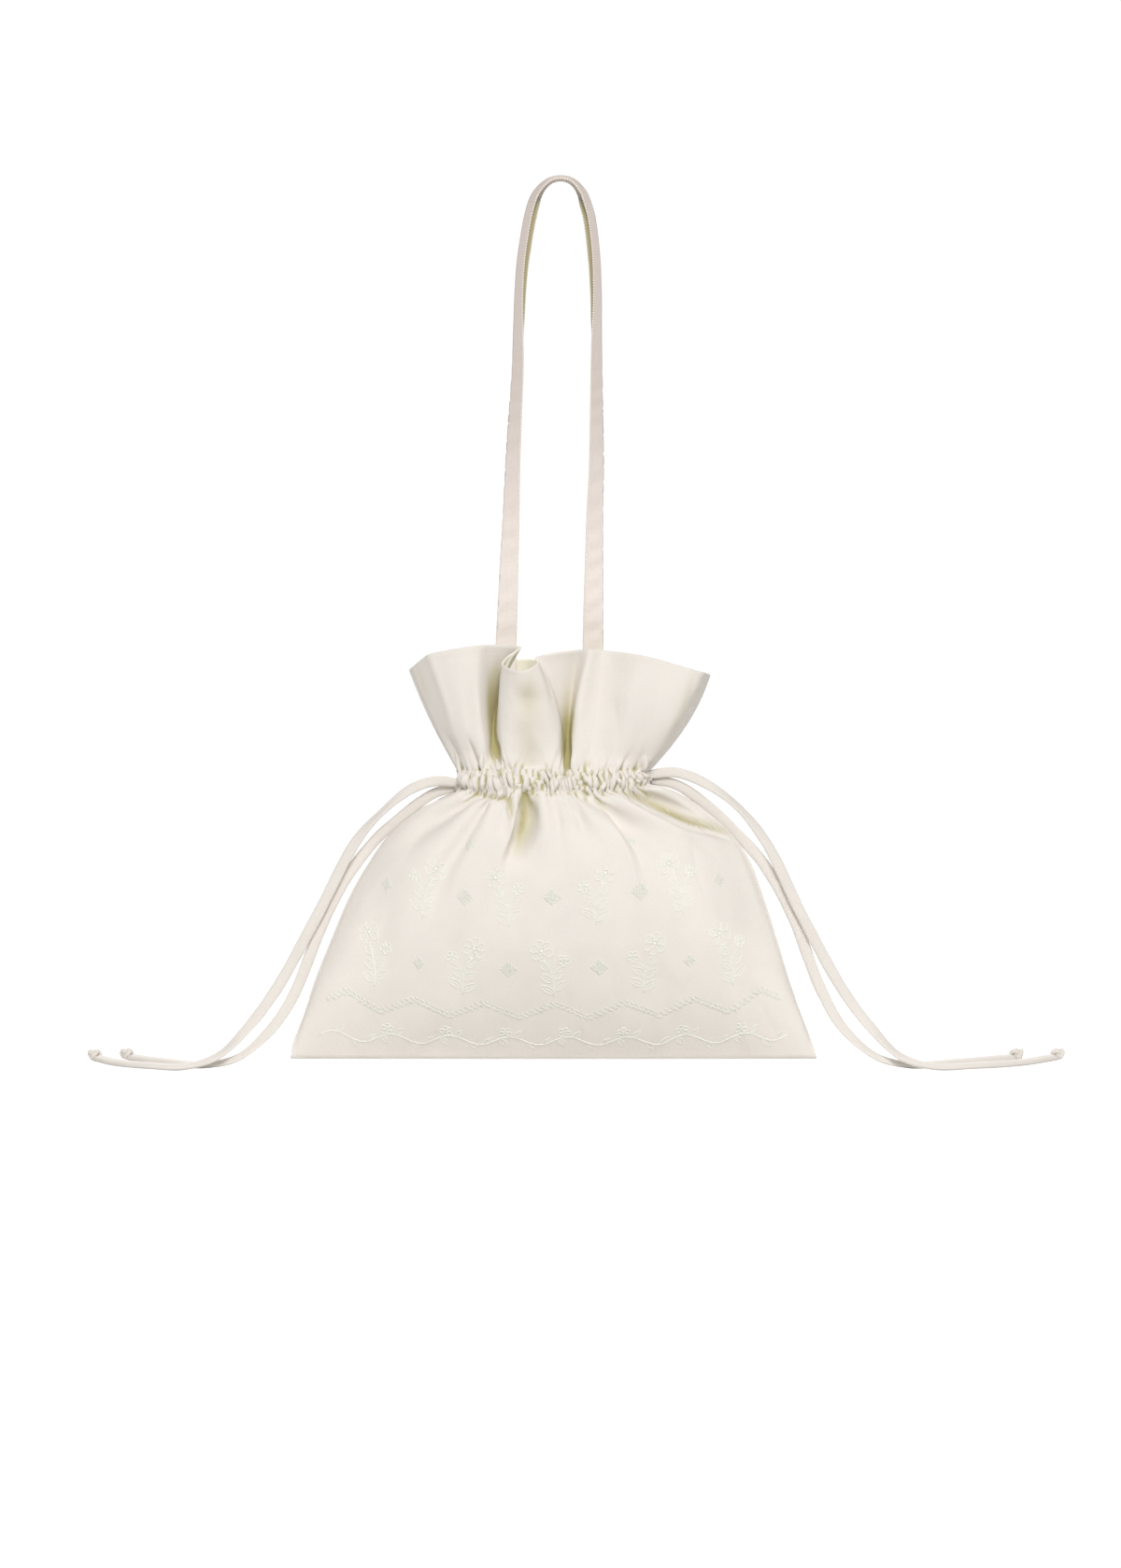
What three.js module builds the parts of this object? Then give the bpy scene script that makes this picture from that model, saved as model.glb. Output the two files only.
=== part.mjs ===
// Cotton drawstring shoulder bag, gathered at the neck and hanging by its strap.
// Millimetres, +Z up, front of the bag towards -Y. The origin is the underside of
// the strap's highest point, where the strap lies over whatever it hangs on.
import * as THREE from 'three';
import { mergeVertices } from 'three/addons/utils/BufferGeometryUtils.js';

// ---------------------------------------------------------------- driving sizes
const CLOTH = 1.4; // wall of each panel (shell cloth and its turned seam allowance)
const CASING_CLOTH = 0.8; // wall of the strips that make the drawstring channel
const GAP = 0.3; // clear space kept between neighbouring pieces
const PANEL_COLUMNS = 38; // mesh columns over the width of a panel
const BODY_ROUNDNESS = 2.6; // exponent of the cross-section, 2 = parabola, higher = fuller
const BACK_FULLNESS = 0.92; // depth of the back panel against the front panel

const NECK_LOW_Z = -524.8; // lower row of the gathered neck
const NECK_TOP_Z = -508.8; // upper row of the gathered neck
const CHANNEL_MID_Z = -516.8; // middle of the drawstring channel
const SIDE_SLIT = 7.4; // open width of the side slit that the drawstrings leave by
const GATHER_COUNT = 9; // broad gathers round the neck of one panel
const GATHER_HEIGHT = 2.6; // how far a gather stands out of the neck

const STRAP_WIDTH = 19.6;
const STRAP_THICKNESS = 2.0;
const STRAP_STEPS = 46;

const CORD_WIDTH = 9.6; // pressed fabric cord, seen flat
const CORD_THICKNESS = 4.4;
const CORD_SIDES = 8;
const TAIL_STEPS = 19;
const LANE_HEIGHT = 7.0; // the same cord, bunched in its channel
const LANE_THICKNESS = 1.6;
const LEFT_LANE_Z = -520.7; // the left drawstring runs below the right one
const RIGHT_LANE_Z = -512.9;
const LANE_INSET = 2.5; // from the middle of the panel's wall to the middle of the lane
const CASING_INSET = 5.3; // from the middle of the panel's wall to the casing strip
const CASING_SEWN_GAP = 1.1; // room for the thread and the gathers along its sewn edges
const CASING_LOW_Z = -527.6;
const CASING_TOP_Z = -505.4;

// ---------------------------------------------------------------- shape tables
// Cross-sections of the pouch from the bottom seam to the neck. belly is the depth
// of the front panel in the middle of the section.
const SECTIONS = [
  { name: 'hem', z: -754.4, left: -231.2, right: 219.6, belly: 0.4 },
  { name: 'hem_top', z: -743.2, left: -229.6, right: 216.4, belly: 3.4 },
  { name: 'low', z: -720.0, left: -220.8, right: 207.2, belly: 10.0 },
  { name: 'low_mid', z: -688.0, left: -210.4, right: 196.0, belly: 19.5 },
  { name: 'mid', z: -652.0, left: -196.0, right: 185.2, belly: 29.5 },
  { name: 'belly', z: -616.0, left: -180.8, right: 173.6, belly: 38.0 },
  { name: 'upper', z: -584.0, left: -162.4, right: 161.6, belly: 43.5 },
  { name: 'shoulder', z: -562.4, left: -146.4, right: 146.4, belly: 43.5 },
  { name: 'shoulder_top', z: -544.0, left: -122.4, right: 125.6, belly: 39.5 },
  { name: 'under_neck', z: -535.2, left: -103.2, right: 108.0, belly: 34.5 },
  { name: 'neck_low', z: -527.6, left: -87.8, right: 76.8, belly: 29.8 },
  { name: 'neck_mid', z: -516.8, left: -87.2, right: 76.0, belly: 29.6 },
  { name: 'neck_top', z: -508.8, left: -87.2, right: 75.2, belly: 29.6 },
];

// Folds of the frill above the neck, from the left seam to the right seam. Each row
// is one crease: where it is at the rim, half way up and at the neck, and how far it
// stands out from the plane of the side seams.
const FRONT_CREASES = [
  { name: 'left_seam', rim_x: -129.6, rim_out: 1.2, rim_z: -421.6, mid_x: -111.2, mid_out: 1.2, neck_x: -87.2 },
  { name: 'left_facet', rim_x: -115.0, rim_out: 20.8, rim_z: -411.0, mid_x: -98.4, mid_out: 17.6, neck_x: -83.2 },
  { name: 'left_ridge', rim_x: -112.0, rim_out: 25.0, rim_z: -408.8, mid_x: -95.2, mid_out: 21.6, neck_x: -81.8 },
  { name: 'left_front', rim_x: -107.2, rim_out: 26.4, rim_z: -407.8, mid_x: -92.0, mid_out: 23.0, neck_x: -79.9 },
  { name: 'left_panel', rim_x: -84.8, rim_out: 30.4, rim_z: -404.0, mid_x: -80.0, mid_out: 27.2, neck_x: -71.8 },
  { name: 'left_panel_edge', rim_x: -70.0, rim_out: 28.8, rim_z: -401.8, mid_x: -70.4, mid_out: 27.0, neck_x: -63.7 },
  { name: 'valley_wall', rim_x: -60.0, rim_out: 23.2, rim_z: -401.0, mid_x: -62.4, mid_out: 16.8, neck_x: -59.5 },
  { name: 'deep_valley', rim_x: -33.6, rim_out: 12.0, rim_z: -402.4, mid_x: -55.2, mid_out: 6.0, neck_x: -53.3 },
  { name: 'tube_left', rim_x: -49.2, rim_out: 25.6, rim_z: -416.8, mid_x: -52.0, mid_out: 27.0, neck_x: -47.2 },
  { name: 'tube_lip', rim_x: -42.0, rim_out: 35.2, rim_z: -422.2, mid_x: -44.0, mid_out: 37.6, neck_x: -40.6 },
  { name: 'tube_front', rim_x: -32.8, rim_out: 40.0, rim_z: -424.4, mid_x: -28.8, mid_out: 41.6, neck_x: -29.5 },
  { name: 'tube_right', rim_x: -19.6, rim_out: 35.6, rim_z: -416.8, mid_x: -7.2, mid_out: 35.2, neck_x: -11.8 },
  { name: 'tube_back', rim_x: -21.2, rim_out: 26.4, rim_z: -411.6, mid_x: -1.2, mid_out: 25.6, neck_x: -5.2 },
  { name: 'tube_shoulder', rim_x: -10.4, rim_out: 19.2, rim_z: -408.8, mid_x: 2.8, mid_out: 16.0, neck_x: -1.0 },
  { name: 'tube_flank', rim_x: 4.0, rim_out: 14.4, rim_z: -406.2, mid_x: 6.0, mid_out: 9.2, neck_x: 2.1 },
  { name: 'second_valley', rim_x: 14.0, rim_out: 11.2, rim_z: -405.4, mid_x: 8.8, mid_out: 4.8, neck_x: 4.8 },
  { name: 'pleat_ridge', rim_x: 25.2, rim_out: 21.6, rim_z: -405.0, mid_x: 15.4, mid_out: 26.4, neck_x: 9.8 },
  { name: 'soft_valley', rim_x: 36.0, rim_out: 19.6, rim_z: -405.6, mid_x: 29.6, mid_out: 21.6, neck_x: 22.9 },
  { name: 'right_panel', rim_x: 72.0, rim_out: 33.6, rim_z: -411.2, mid_x: 57.6, mid_out: 32.8, neck_x: 44.4 },
  { name: 'right_panel_edge', rim_x: 108.0, rim_out: 32.6, rim_z: -421.2, mid_x: 84.0, mid_out: 31.6, neck_x: 62.3 },
  { name: 'right_front', rim_x: 117.6, rim_out: 29.6, rim_z: -423.8, mid_x: 94.8, mid_out: 28.8, neck_x: 68.7 },
  { name: 'right_ridge', rim_x: 121.4, rim_out: 26.0, rim_z: -424.4, mid_x: 98.8, mid_out: 25.2, neck_x: 70.4 },
  { name: 'right_facet', rim_x: 124.2, rim_out: 15.6, rim_z: -424.9, mid_x: 102.8, mid_out: 14.4, neck_x: 71.9 },
  { name: 'right_seam', rim_x: 128.0, rim_out: 1.2, rim_z: -425.6, mid_x: 108.8, mid_out: 1.2, neck_x: 75.2 },
];
const BACK_CREASES = [
  { name: 'left_seam', rim_x: -129.6, rim_out: 1.2, rim_z: -421.6, mid_x: -111.2, mid_out: 1.2, neck_x: -87.2 },
  { name: 'left_ridge', rim_x: -114.4, rim_out: 22.4, rim_z: -412.8, mid_x: -99.2, mid_out: 20.0, neck_x: -81.8 },
  { name: 'left_panel', rim_x: -90.4, rim_out: 30.4, rim_z: -414.4, mid_x: -83.2, mid_out: 28.0, neck_x: -71.0 },
  { name: 'left_valley', rim_x: -71.2, rim_out: 17.6, rim_z: -412.8, mid_x: -69.6, mid_out: 17.6, neck_x: -61.8 },
  { name: 'strap_left_a', rim_x: -58.4, rim_out: 24.8, rim_z: -411.2, mid_x: -57.6, mid_out: 25.6, neck_x: -51.8 },
  { name: 'strap_left_b', rim_x: -32.8, rim_out: 24.8, rim_z: -411.2, mid_x: -33.6, mid_out: 25.6, neck_x: -35.6 },
  { name: 'middle_valley', rim_x: -8.8, rim_out: 10.4, rim_z: -412.8, mid_x: -9.6, mid_out: 12.8, neck_x: -11.8 },
  { name: 'strap_right_a', rim_x: 13.6, rim_out: 24.8, rim_z: -411.2, mid_x: 12.0, mid_out: 25.6, neck_x: 9.0 },
  { name: 'strap_right_b', rim_x: 39.2, rim_out: 24.8, rim_z: -412.0, mid_x: 36.8, mid_out: 25.6, neck_x: 27.5 },
  { name: 'right_valley', rim_x: 55.2, rim_out: 15.2, rim_z: -414.4, mid_x: 49.6, mid_out: 17.6, neck_x: 38.3 },
  { name: 'right_panel', rim_x: 77.6, rim_out: 31.2, rim_z: -416.8, mid_x: 64.0, mid_out: 29.6, neck_x: 49.0 },
  { name: 'right_panel_edge', rim_x: 100.0, rim_out: 30.4, rim_z: -420.8, mid_x: 82.4, mid_out: 27.2, neck_x: 62.1 },
  { name: 'right_ridge', rim_x: 116.8, rim_out: 20.8, rim_z: -424.8, mid_x: 99.2, mid_out: 17.6, neck_x: 70.6 },
  { name: 'right_seam', rim_x: 128.0, rim_out: 1.2, rim_z: -425.6, mid_x: 108.8, mid_out: 1.2, neck_x: 75.2 },
];
const FRILL_MID = 0.5; // height of the mid column in the tables, as a share of the frill

// Folds that run down from the neck into the pouch: position at the neck, position
// and height of the lower end, depth (a valley is positive), and width at both ends.
const FRONT_FOLDS = [
  { name: 'centre_valley', top_x: -30.0, end_x: -46.0, end_z: -612.0, depth: 13.0, top_w: 9.0, end_w: 16.0 },
  { name: 'left_crease', top_x: -58.0, end_x: -76.0, end_z: -640.0, depth: 5.0, top_w: 8.0, end_w: 18.0 },
  { name: 'right_ridge', top_x: 26.0, end_x: 66.0, end_z: -620.0, depth: -5.0, top_w: 9.0, end_w: 15.0 },
  { name: 'right_valley', top_x: 44.0, end_x: 92.0, end_z: -606.0, depth: 6.0, top_w: 9.0, end_w: 15.0 },
  { name: 'shoulder_fold', top_x: 72.0, end_x: 138.0, end_z: -568.0, depth: 8.0, top_w: 8.0, end_w: 11.0 },
];
const BACK_FOLDS = [
  { name: 'left_valley', top_x: -48.0, end_x: -84.0, end_z: -626.0, depth: 8.0, top_w: 9.0, end_w: 17.0 },
  { name: 'centre_valley', top_x: -8.0, end_x: -4.0, end_z: -640.0, depth: 9.0, top_w: 9.0, end_w: 18.0 },
  { name: 'right_valley', top_x: 44.0, end_x: 84.0, end_z: -620.0, depth: 8.0, top_w: 9.0, end_w: 16.0 },
];

// Stations of the strap from its left sewn end over the top to its right sewn end.
// turn is the heading of the inner edge about Z, cup how far the middle bows out.
const STRAP_STATIONS = [
  { name: 'left_end', x: -47.2, y: 23.2, z: -438.4, turn: 0, cup: 0 },
  { name: 'left_rim', x: -46.4, y: 23.2, z: -400.0, turn: 0, cup: 0 },
  { name: 'left_low', x: -43.2, y: 18.0, z: -312.0, turn: -33, cup: 0.5 },
  { name: 'left_mid', x: -40.8, y: 13.0, z: -248.0, turn: -45, cup: 1.5 },
  { name: 'left_high', x: -37.6, y: 9.0, z: -184.0, turn: -52, cup: 2.5 },
  { name: 'left_upper', x: -34.4, y: 5.5, z: -120.0, turn: -54, cup: 3.5 },
  { name: 'left_bend', x: -29.6, y: 3.0, z: -64.0, turn: -56, cup: 4.2 },
  { name: 'left_arch', x: -23.6, y: 1.5, z: -28.0, turn: -62, cup: 3.6 },
  { name: 'left_top', x: -15.2, y: 0.5, z: -8.0, turn: -74, cup: 2.0 },
  { name: 'apex', x: 0.0, y: 0.0, z: 1.3, turn: -90, cup: 0.6 },
  { name: 'right_top', x: 14.4, y: 0.5, z: -8.0, turn: -106, cup: 2.0 },
  { name: 'right_arch', x: 22.0, y: 1.5, z: -28.0, turn: -118, cup: 3.6 },
  { name: 'right_bend', x: 26.0, y: 3.0, z: -64.0, turn: -124, cup: 4.2 },
  { name: 'right_upper', x: 28.4, y: 5.5, z: -120.0, turn: -128, cup: 3.5 },
  { name: 'right_high', x: 29.2, y: 9.0, z: -184.0, turn: -134, cup: 2.5 },
  { name: 'right_mid', x: 28.8, y: 13.0, z: -248.0, turn: -143, cup: 1.5 },
  { name: 'right_low', x: 27.6, y: 18.0, z: -312.0, turn: -150, cup: 0.5 },
  { name: 'right_rim', x: 26.8, y: 23.2, z: -400.0, turn: -180, cup: 0 },
  { name: 'right_end', x: 26.8, y: 23.2, z: -438.4, turn: -180, cup: 0 },
];

// Free ends of the drawstrings: out of the side slit, down in a long arc and along
// the surface below the bag. roll lays the flat cord over where it reaches it.
const TAILS = {
  drawstring_left_tail_front: [
    { x: -91.2, y: -3.6, z: -518.4, roll: 0 },
    { x: -107.2, y: -4.0, z: -516.8, roll: 0 },
    { x: -128.0, y: -3.8, z: -523.6, roll: 0 },
    { x: -153.6, y: -3.2, z: -544.0, roll: 0 },
    { x: -174.8, y: -2.8, z: -568.0, roll: 0 },
    { x: -208.4, y: -2.6, z: -632.0, roll: 0 },
    { x: -244.0, y: -2.6, z: -696.0, roll: 5 },
    { x: -268.0, y: -6.0, z: -728.0, roll: 30 },
    { x: -291.2, y: -14.0, z: -750.4, roll: 62 },
    { x: -318.0, y: -16.0, z: -759.6, roll: 84 },
    { x: -352.0, y: -8.0, z: -759.6, roll: 84 },
    { x: -384.0, y: 22.0, z: -759.6, roll: 84 },
    { x: -404.8, y: 54.0, z: -758.8, roll: 84 },
  ],
  drawstring_left_tail_back: [
    { x: -91.6, y: 3.6, z: -521.8, roll: 0 },
    { x: -106.4, y: 5.8, z: -526.4, roll: 0 },
    { x: -120.0, y: 7.4, z: -534.4, roll: 0 },
    { x: -140.0, y: 8.8, z: -550.4, roll: 0 },
    { x: -158.0, y: 8.8, z: -566.4, roll: 0 },
    { x: -184.0, y: 7.8, z: -600.0, roll: 0 },
    { x: -204.4, y: 7.4, z: -640.0, roll: 0 },
    { x: -230.8, y: 7.4, z: -704.0, roll: 5 },
    { x: -251.2, y: 6.0, z: -732.8, roll: 30 },
    { x: -276.8, y: 3.0, z: -753.6, roll: 64 },
    { x: -303.2, y: 4.0, z: -759.6, roll: 84 },
    { x: -340.0, y: 28.0, z: -759.6, roll: 84 },
    { x: -376.8, y: 64.0, z: -758.8, roll: 84 },
  ],
  drawstring_right_tail_front: [
    { x: 79.2, y: -3.6, z: -511.2, roll: 0 },
    { x: 97.6, y: -4.0, z: -509.2, roll: 0 },
    { x: 120.4, y: -3.8, z: -516.8, roll: 0 },
    { x: 148.8, y: -3.2, z: -536.0, roll: 0 },
    { x: 175.2, y: -2.8, z: -568.0, roll: 0 },
    { x: 206.8, y: -2.6, z: -632.0, roll: 0 },
    { x: 242.0, y: -2.6, z: -696.0, roll: 5 },
    { x: 266.0, y: -6.0, z: -728.0, roll: 30 },
    { x: 289.6, y: -14.0, z: -751.2, roll: 62 },
    { x: 316.0, y: -16.0, z: -759.6, roll: 84 },
    { x: 352.8, y: -8.0, z: -759.6, roll: 84 },
    { x: 398.4, y: 22.0, z: -759.6, roll: 84 },
    { x: 432.8, y: 62.0, z: -758.8, roll: 84 },
  ],
  drawstring_right_tail_back: [
    { x: 79.2, y: 3.6, z: -515.6, roll: 0 },
    { x: 95.2, y: 5.4, z: -518.4, roll: 0 },
    { x: 106.4, y: 7.4, z: -523.6, roll: 0 },
    { x: 125.6, y: 9.2, z: -537.6, roll: 0 },
    { x: 149.6, y: 9.2, z: -560.0, roll: 0 },
    { x: 174.4, y: 7.8, z: -588.0, roll: 0 },
    { x: 198.8, y: 7.4, z: -632.0, roll: 0 },
    { x: 223.6, y: 7.4, z: -696.0, roll: 5 },
    { x: 242.0, y: 6.0, z: -728.0, roll: 30 },
    { x: 270.4, y: 3.0, z: -752.4, roll: 64 },
    { x: 296.8, y: 4.0, z: -759.6, roll: 84 },
    { x: 345.6, y: 30.0, z: -759.6, roll: 84 },
    { x: 396.0, y: 64.0, z: -758.8, roll: 84 },
  ],
};
// Overhand knot at a free end: half-profile along the cord, from the cord to the stub.
const KNOT_PROFILE = [
  { along: 0.0, radius: 2.6 },
  { along: 1.4, radius: 4.6 },
  { along: 4.0, radius: 5.4 },
  { along: 6.4, radius: 4.9 },
  { along: 8.2, radius: 5.2 },
  { along: 10.2, radius: 3.8 },
  { along: 12.4, radius: 2.8 },
];
const KNOT_SIDES = 12;
const KNOT_LIFT = 2.2; // the knot is thicker than the cord, so its axis lies higher

const COLOURS = { cloth: 0xf3ece1, strap: 0xeee6dc, cord: 0xece8dc, casing: 0xefe8da };

// ---------------------------------------------------------------- small functions
const clamp = THREE.MathUtils.clamp;
const smooth = (a, b, v) => THREE.MathUtils.smoothstep(v, a, b);

// Cubic curve through the knots, with slopes limited so that it never overshoots.
function curveThrough(knots, values) {
  const n = knots.length;
  const step = knots.slice(1).map((k, i) => k - knots[i]);
  const slope = step.map((h, i) => (values[i + 1] - values[i]) / h);
  const tangent = values.map((_, i) => {
    if (i === 0) return slope[0];
    if (i === n - 1) return slope[n - 2];
    if (slope[i - 1] * slope[i] <= 0) return 0;
    const a = 2 * step[i] + step[i - 1];
    const b = step[i] + 2 * step[i - 1];
    return (a + b) / (a / slope[i - 1] + b / slope[i]);
  });
  return (k) => {
    let i = 0;
    while (i < n - 2 && k > knots[i + 1]) i += 1;
    const t = clamp((k - knots[i]) / step[i], 0, 1);
    const t2 = t * t;
    const t3 = t2 * t;
    return (
      (2 * t3 - 3 * t2 + 1) * values[i] + (t3 - 2 * t2 + t) * step[i] * tangent[i] +
      (3 * t2 - 2 * t3) * values[i + 1] + (t3 - t2) * step[i] * tangent[i + 1]
    );
  };
}
const column = (table, key) => table.map((row) => row[key]);

const sectionZ = column(SECTIONS, 'z');
const leftAt = curveThrough(sectionZ, column(SECTIONS, 'left'));
const rightAt = curveThrough(sectionZ, column(SECTIONS, 'right'));
const bellyAt = curveThrough(sectionZ, column(SECTIONS, 'belly'));

// Half the space between the two panels along the side: closed by the seam, open at
// the slit where the drawstrings leave the channel.
function seamHalf(z) {
  const open = smooth(NECK_LOW_Z - 9, NECK_LOW_Z - 1, z) * (1 - smooth(NECK_TOP_Z + 1, NECK_TOP_Z + 9, z));
  return THREE.MathUtils.lerp(CLOTH / 2 + GAP / 2, SIDE_SLIT / 2 + CLOTH / 2, open);
}

// One panel: s runs from the left seam (-1) to the right seam (1), and w from the
// bottom seam (0) through the neck (1) to the rim (2).
function makePanel(creases, folds, side, fullness) {
  const run = [0];
  for (let i = 1; i < creases.length; i += 1) {
    const a = creases[i - 1];
    const b = creases[i];
    run.push(run[i - 1] + Math.hypot(b.rim_x - a.rim_x, b.rim_out - a.rim_out, b.rim_z - a.rim_z));
  }
  const crease_s = run.map((r) => (2 * r) / run[run.length - 1] - 1);
  const across = Object.fromEntries(
    ['rim_x', 'rim_out', 'rim_z', 'mid_x', 'mid_out', 'neck_x'].map((key) => [key, curveThrough(crease_s, column(creases, key))]),
  );
  const round = (s) => 1 - Math.abs(s) ** BODY_ROUNDNESS;
  const bottomZ = SECTIONS[0].z;

  function bodyPoint(s, z) {
    const left = leftAt(z);
    const right = rightAt(z);
    const even = THREE.MathUtils.lerp(left, right, (s + 1) / 2);
    const gathered = across.neck_x(s) + (even - THREE.MathUtils.lerp(leftAt(NECK_TOP_Z), rightAt(NECK_TOP_Z), (s + 1) / 2));
    const x = THREE.MathUtils.lerp(even, gathered, smooth(-600, NECK_LOW_Z, z));
    let out = bellyAt(z) * fullness * round(s);
    for (const fold of folds) {
      const down = (NECK_LOW_Z - z) / (NECK_LOW_Z - fold.end_z);
      if (down < 0.03 || down > 1.2) continue;
      const fx = THREE.MathUtils.lerp(fold.top_x, fold.end_x, down);
      const width = THREE.MathUtils.lerp(fold.top_w, fold.end_w, clamp(down, 0, 1));
      const along = smooth(0.03, 0.24, down) * (1 - smooth(0.35, 1.2, down));
      out -= fold.depth * along * round(s) * Math.exp(-(((x - fx) / width) ** 2));
    }
    return { x, out, z };
  }
  function frillPoint(s, t) {
    const neck_out = bellyAt(NECK_TOP_Z) * fullness * round(s);
    const l0 = ((t - FRILL_MID) * (t - 1)) / FRILL_MID;
    const lm = (t * (t - 1)) / (FRILL_MID * (FRILL_MID - 1));
    const l1 = (t * (t - FRILL_MID)) / (1 - FRILL_MID);
    return {
      x: l0 * across.neck_x(s) + lm * across.mid_x(s) + l1 * across.rim_x(s),
      out: Math.max(0, l0 * neck_out + lm * across.mid_out(s) + l1 * across.rim_out(s)),
      z: THREE.MathUtils.lerp(NECK_TOP_Z, across.rim_z(s), t),
    };
  }
  function point(s, w) {
    const p = w <= 1 ? bodyPoint(s, THREE.MathUtils.lerp(bottomZ, NECK_TOP_Z, w)) : frillPoint(s, w - 1);
    return new THREE.Vector3(p.x, side * (p.out + seamHalf(p.z)), p.z);
  }
  function normal(s, w) {
    const e = 1e-3;
    const ds = point(Math.min(1, s + e), w).sub(point(Math.max(-1, s - e), w));
    const dw = point(s, Math.min(2, w + e)).sub(point(s, Math.max(0, w - e)));
    return ds.cross(dw).normalize().multiplyScalar(-side); // away from the inside of the bag
  }
  // Gathers stand out of the neck and fade into the frill and the pouch.
  function gather(s, w) {
    const z = point(s, w).z;
    const band = smooth(NECK_LOW_Z - 16, NECK_LOW_Z, z) * (1 - smooth(NECK_TOP_Z, NECK_TOP_Z + 16, z));
    return GATHER_HEIGHT * band * (0.5 + 0.5 * Math.cos(Math.PI * GATHER_COUNT * (s + 1))) * smooth(0, 0.1, 1 - Math.abs(s));
  }
  return { point, normal, gather, crease_s };
}

// Closed wall between an outer and an inner offset of a surface patch.
function wallSolid(surface, sValues, wValues, outer, inner) {
  const cols = sValues.length;
  const rows = wValues.length;
  const points = [];
  for (const offset of [outer, inner]) {
    for (const w of wValues) {
      for (const s of sValues) {
        const p = surface.point(s, w).addScaledVector(surface.normal(s, w), offset(s, w));
        points.push(p.x, p.y, p.z);
      }
    }
  }
  const index = [];
  const at = (layer, r, c) => layer * rows * cols + r * cols + c;
  const quad = (a, b, c, d) => index.push(a, b, c, a, c, d);
  for (let r = 0; r < rows - 1; r += 1) {
    for (let c = 0; c < cols - 1; c += 1) {
      quad(at(0, r, c), at(0, r, c + 1), at(0, r + 1, c + 1), at(0, r + 1, c));
      quad(at(1, r, c), at(1, r + 1, c), at(1, r + 1, c + 1), at(1, r, c + 1));
    }
  }
  for (let c = 0; c < cols - 1; c += 1) {
    quad(at(0, 0, c), at(1, 0, c), at(1, 0, c + 1), at(0, 0, c + 1));
    quad(at(0, rows - 1, c), at(0, rows - 1, c + 1), at(1, rows - 1, c + 1), at(1, rows - 1, c));
  }
  for (let r = 0; r < rows - 1; r += 1) {
    quad(at(0, r, 0), at(0, r + 1, 0), at(1, r + 1, 0), at(1, r, 0));
    quad(at(0, r, cols - 1), at(1, r, cols - 1), at(1, r + 1, cols - 1), at(0, r + 1, cols - 1));
  }
  return closedGeometry(points, index);
}

// Closed solid swept through rings of equal length, ends capped with fans.
function ringSolid(rings) {
  const n = rings[0].length;
  const points = [];
  const index = [];
  rings.forEach((ring) => ring.forEach((p) => points.push(p.x, p.y, p.z)));
  for (let r = 0; r < rings.length - 1; r += 1) {
    for (let k = 0; k < n; k += 1) {
      const a = r * n + k;
      const b = r * n + ((k + 1) % n);
      index.push(a, b, b + n, a, b + n, a + n);
    }
  }
  [[rings[0], 0, true], [rings[rings.length - 1], (rings.length - 1) * n, false]].forEach(([ring, start, flip]) => {
    const centre = ring.reduce((sum, p) => sum.add(p), new THREE.Vector3()).multiplyScalar(1 / n);
    const c = points.length / 3;
    points.push(centre.x, centre.y, centre.z);
    for (let k = 0; k < n; k += 1) {
      const a = start + k;
      const b = start + ((k + 1) % n);
      index.push(...(flip ? [c, b, a] : [c, a, b]));
    }
  });
  return closedGeometry(points, index);
}

// Turns the faces outwards, whichever way the pieces above were wound.
function closedGeometry(points, index) {
  let volume = 0;
  const v = (i) => new THREE.Vector3(points[3 * i], points[3 * i + 1], points[3 * i + 2]);
  for (let i = 0; i < index.length; i += 3) volume += v(index[i]).dot(v(index[i + 1]).cross(v(index[i + 2])));
  if (volume < 0) for (let i = 0; i < index.length; i += 3) [index[i + 1], index[i + 2]] = [index[i + 2], index[i + 1]];
  const geometry = new THREE.BufferGeometry();
  geometry.setAttribute('position', new THREE.Float32BufferAttribute(points, 3));
  geometry.setIndex(index);
  const merged = mergeVertices(geometry, 1e-4);
  merged.computeVertexNormals();
  return merged;
}

// Mesh columns that include every crease of the frill.
function columnsFor(crease_s) {
  const columns = [-1];
  for (let i = 1; i < crease_s.length; i += 1) {
    const span = crease_s[i] - crease_s[i - 1];
    const parts = Math.max(1, Math.round((span * PANEL_COLUMNS) / 2));
    for (let k = 1; k <= parts; k += 1) columns.push(crease_s[i - 1] + (span * k) / parts);
  }
  return columns;
}
const BODY_ROWS_Z = [-754.4, -749, -743, -732, -718, -700, -678, -652, -628, -604, -584, -568, -555, -544, -535, -527, -520, -513.6, NECK_TOP_Z];
const FRILL_ROWS = [0.07, 0.16, 0.28, 0.42, 0.57, 0.72, 0.87, 1];
const bodyW = (z) => (z - SECTIONS[0].z) / (NECK_TOP_Z - SECTIONS[0].z);

// ---------------------------------------------------------------- pieces
const bag = new THREE.Group();
function add(name, geometry, colour) {
  const mesh = new THREE.Mesh(geometry, new THREE.MeshStandardMaterial({ color: colour, roughness: 0.92, metalness: 0, name }));
  mesh.name = name;
  bag.add(mesh);
  return mesh;
}

const frontPanel = makePanel(FRONT_CREASES, FRONT_FOLDS, -1, 1);
const backPanel = makePanel(BACK_CREASES, BACK_FOLDS, 1, BACK_FULLNESS);
for (const [name, panel] of [['front_panel', frontPanel], ['back_panel', backPanel]]) {
  const rows = [...BODY_ROWS_Z.map(bodyW), ...FRILL_ROWS.map((t) => 1 + t)];
  const outer = (s, w) => CLOTH / 2 + panel.gather(s, w);
  add(name, wallSolid(panel, columnsFor(panel.crease_s), rows, outer, () => -CLOTH / 2), COLOURS.cloth);
}

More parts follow.
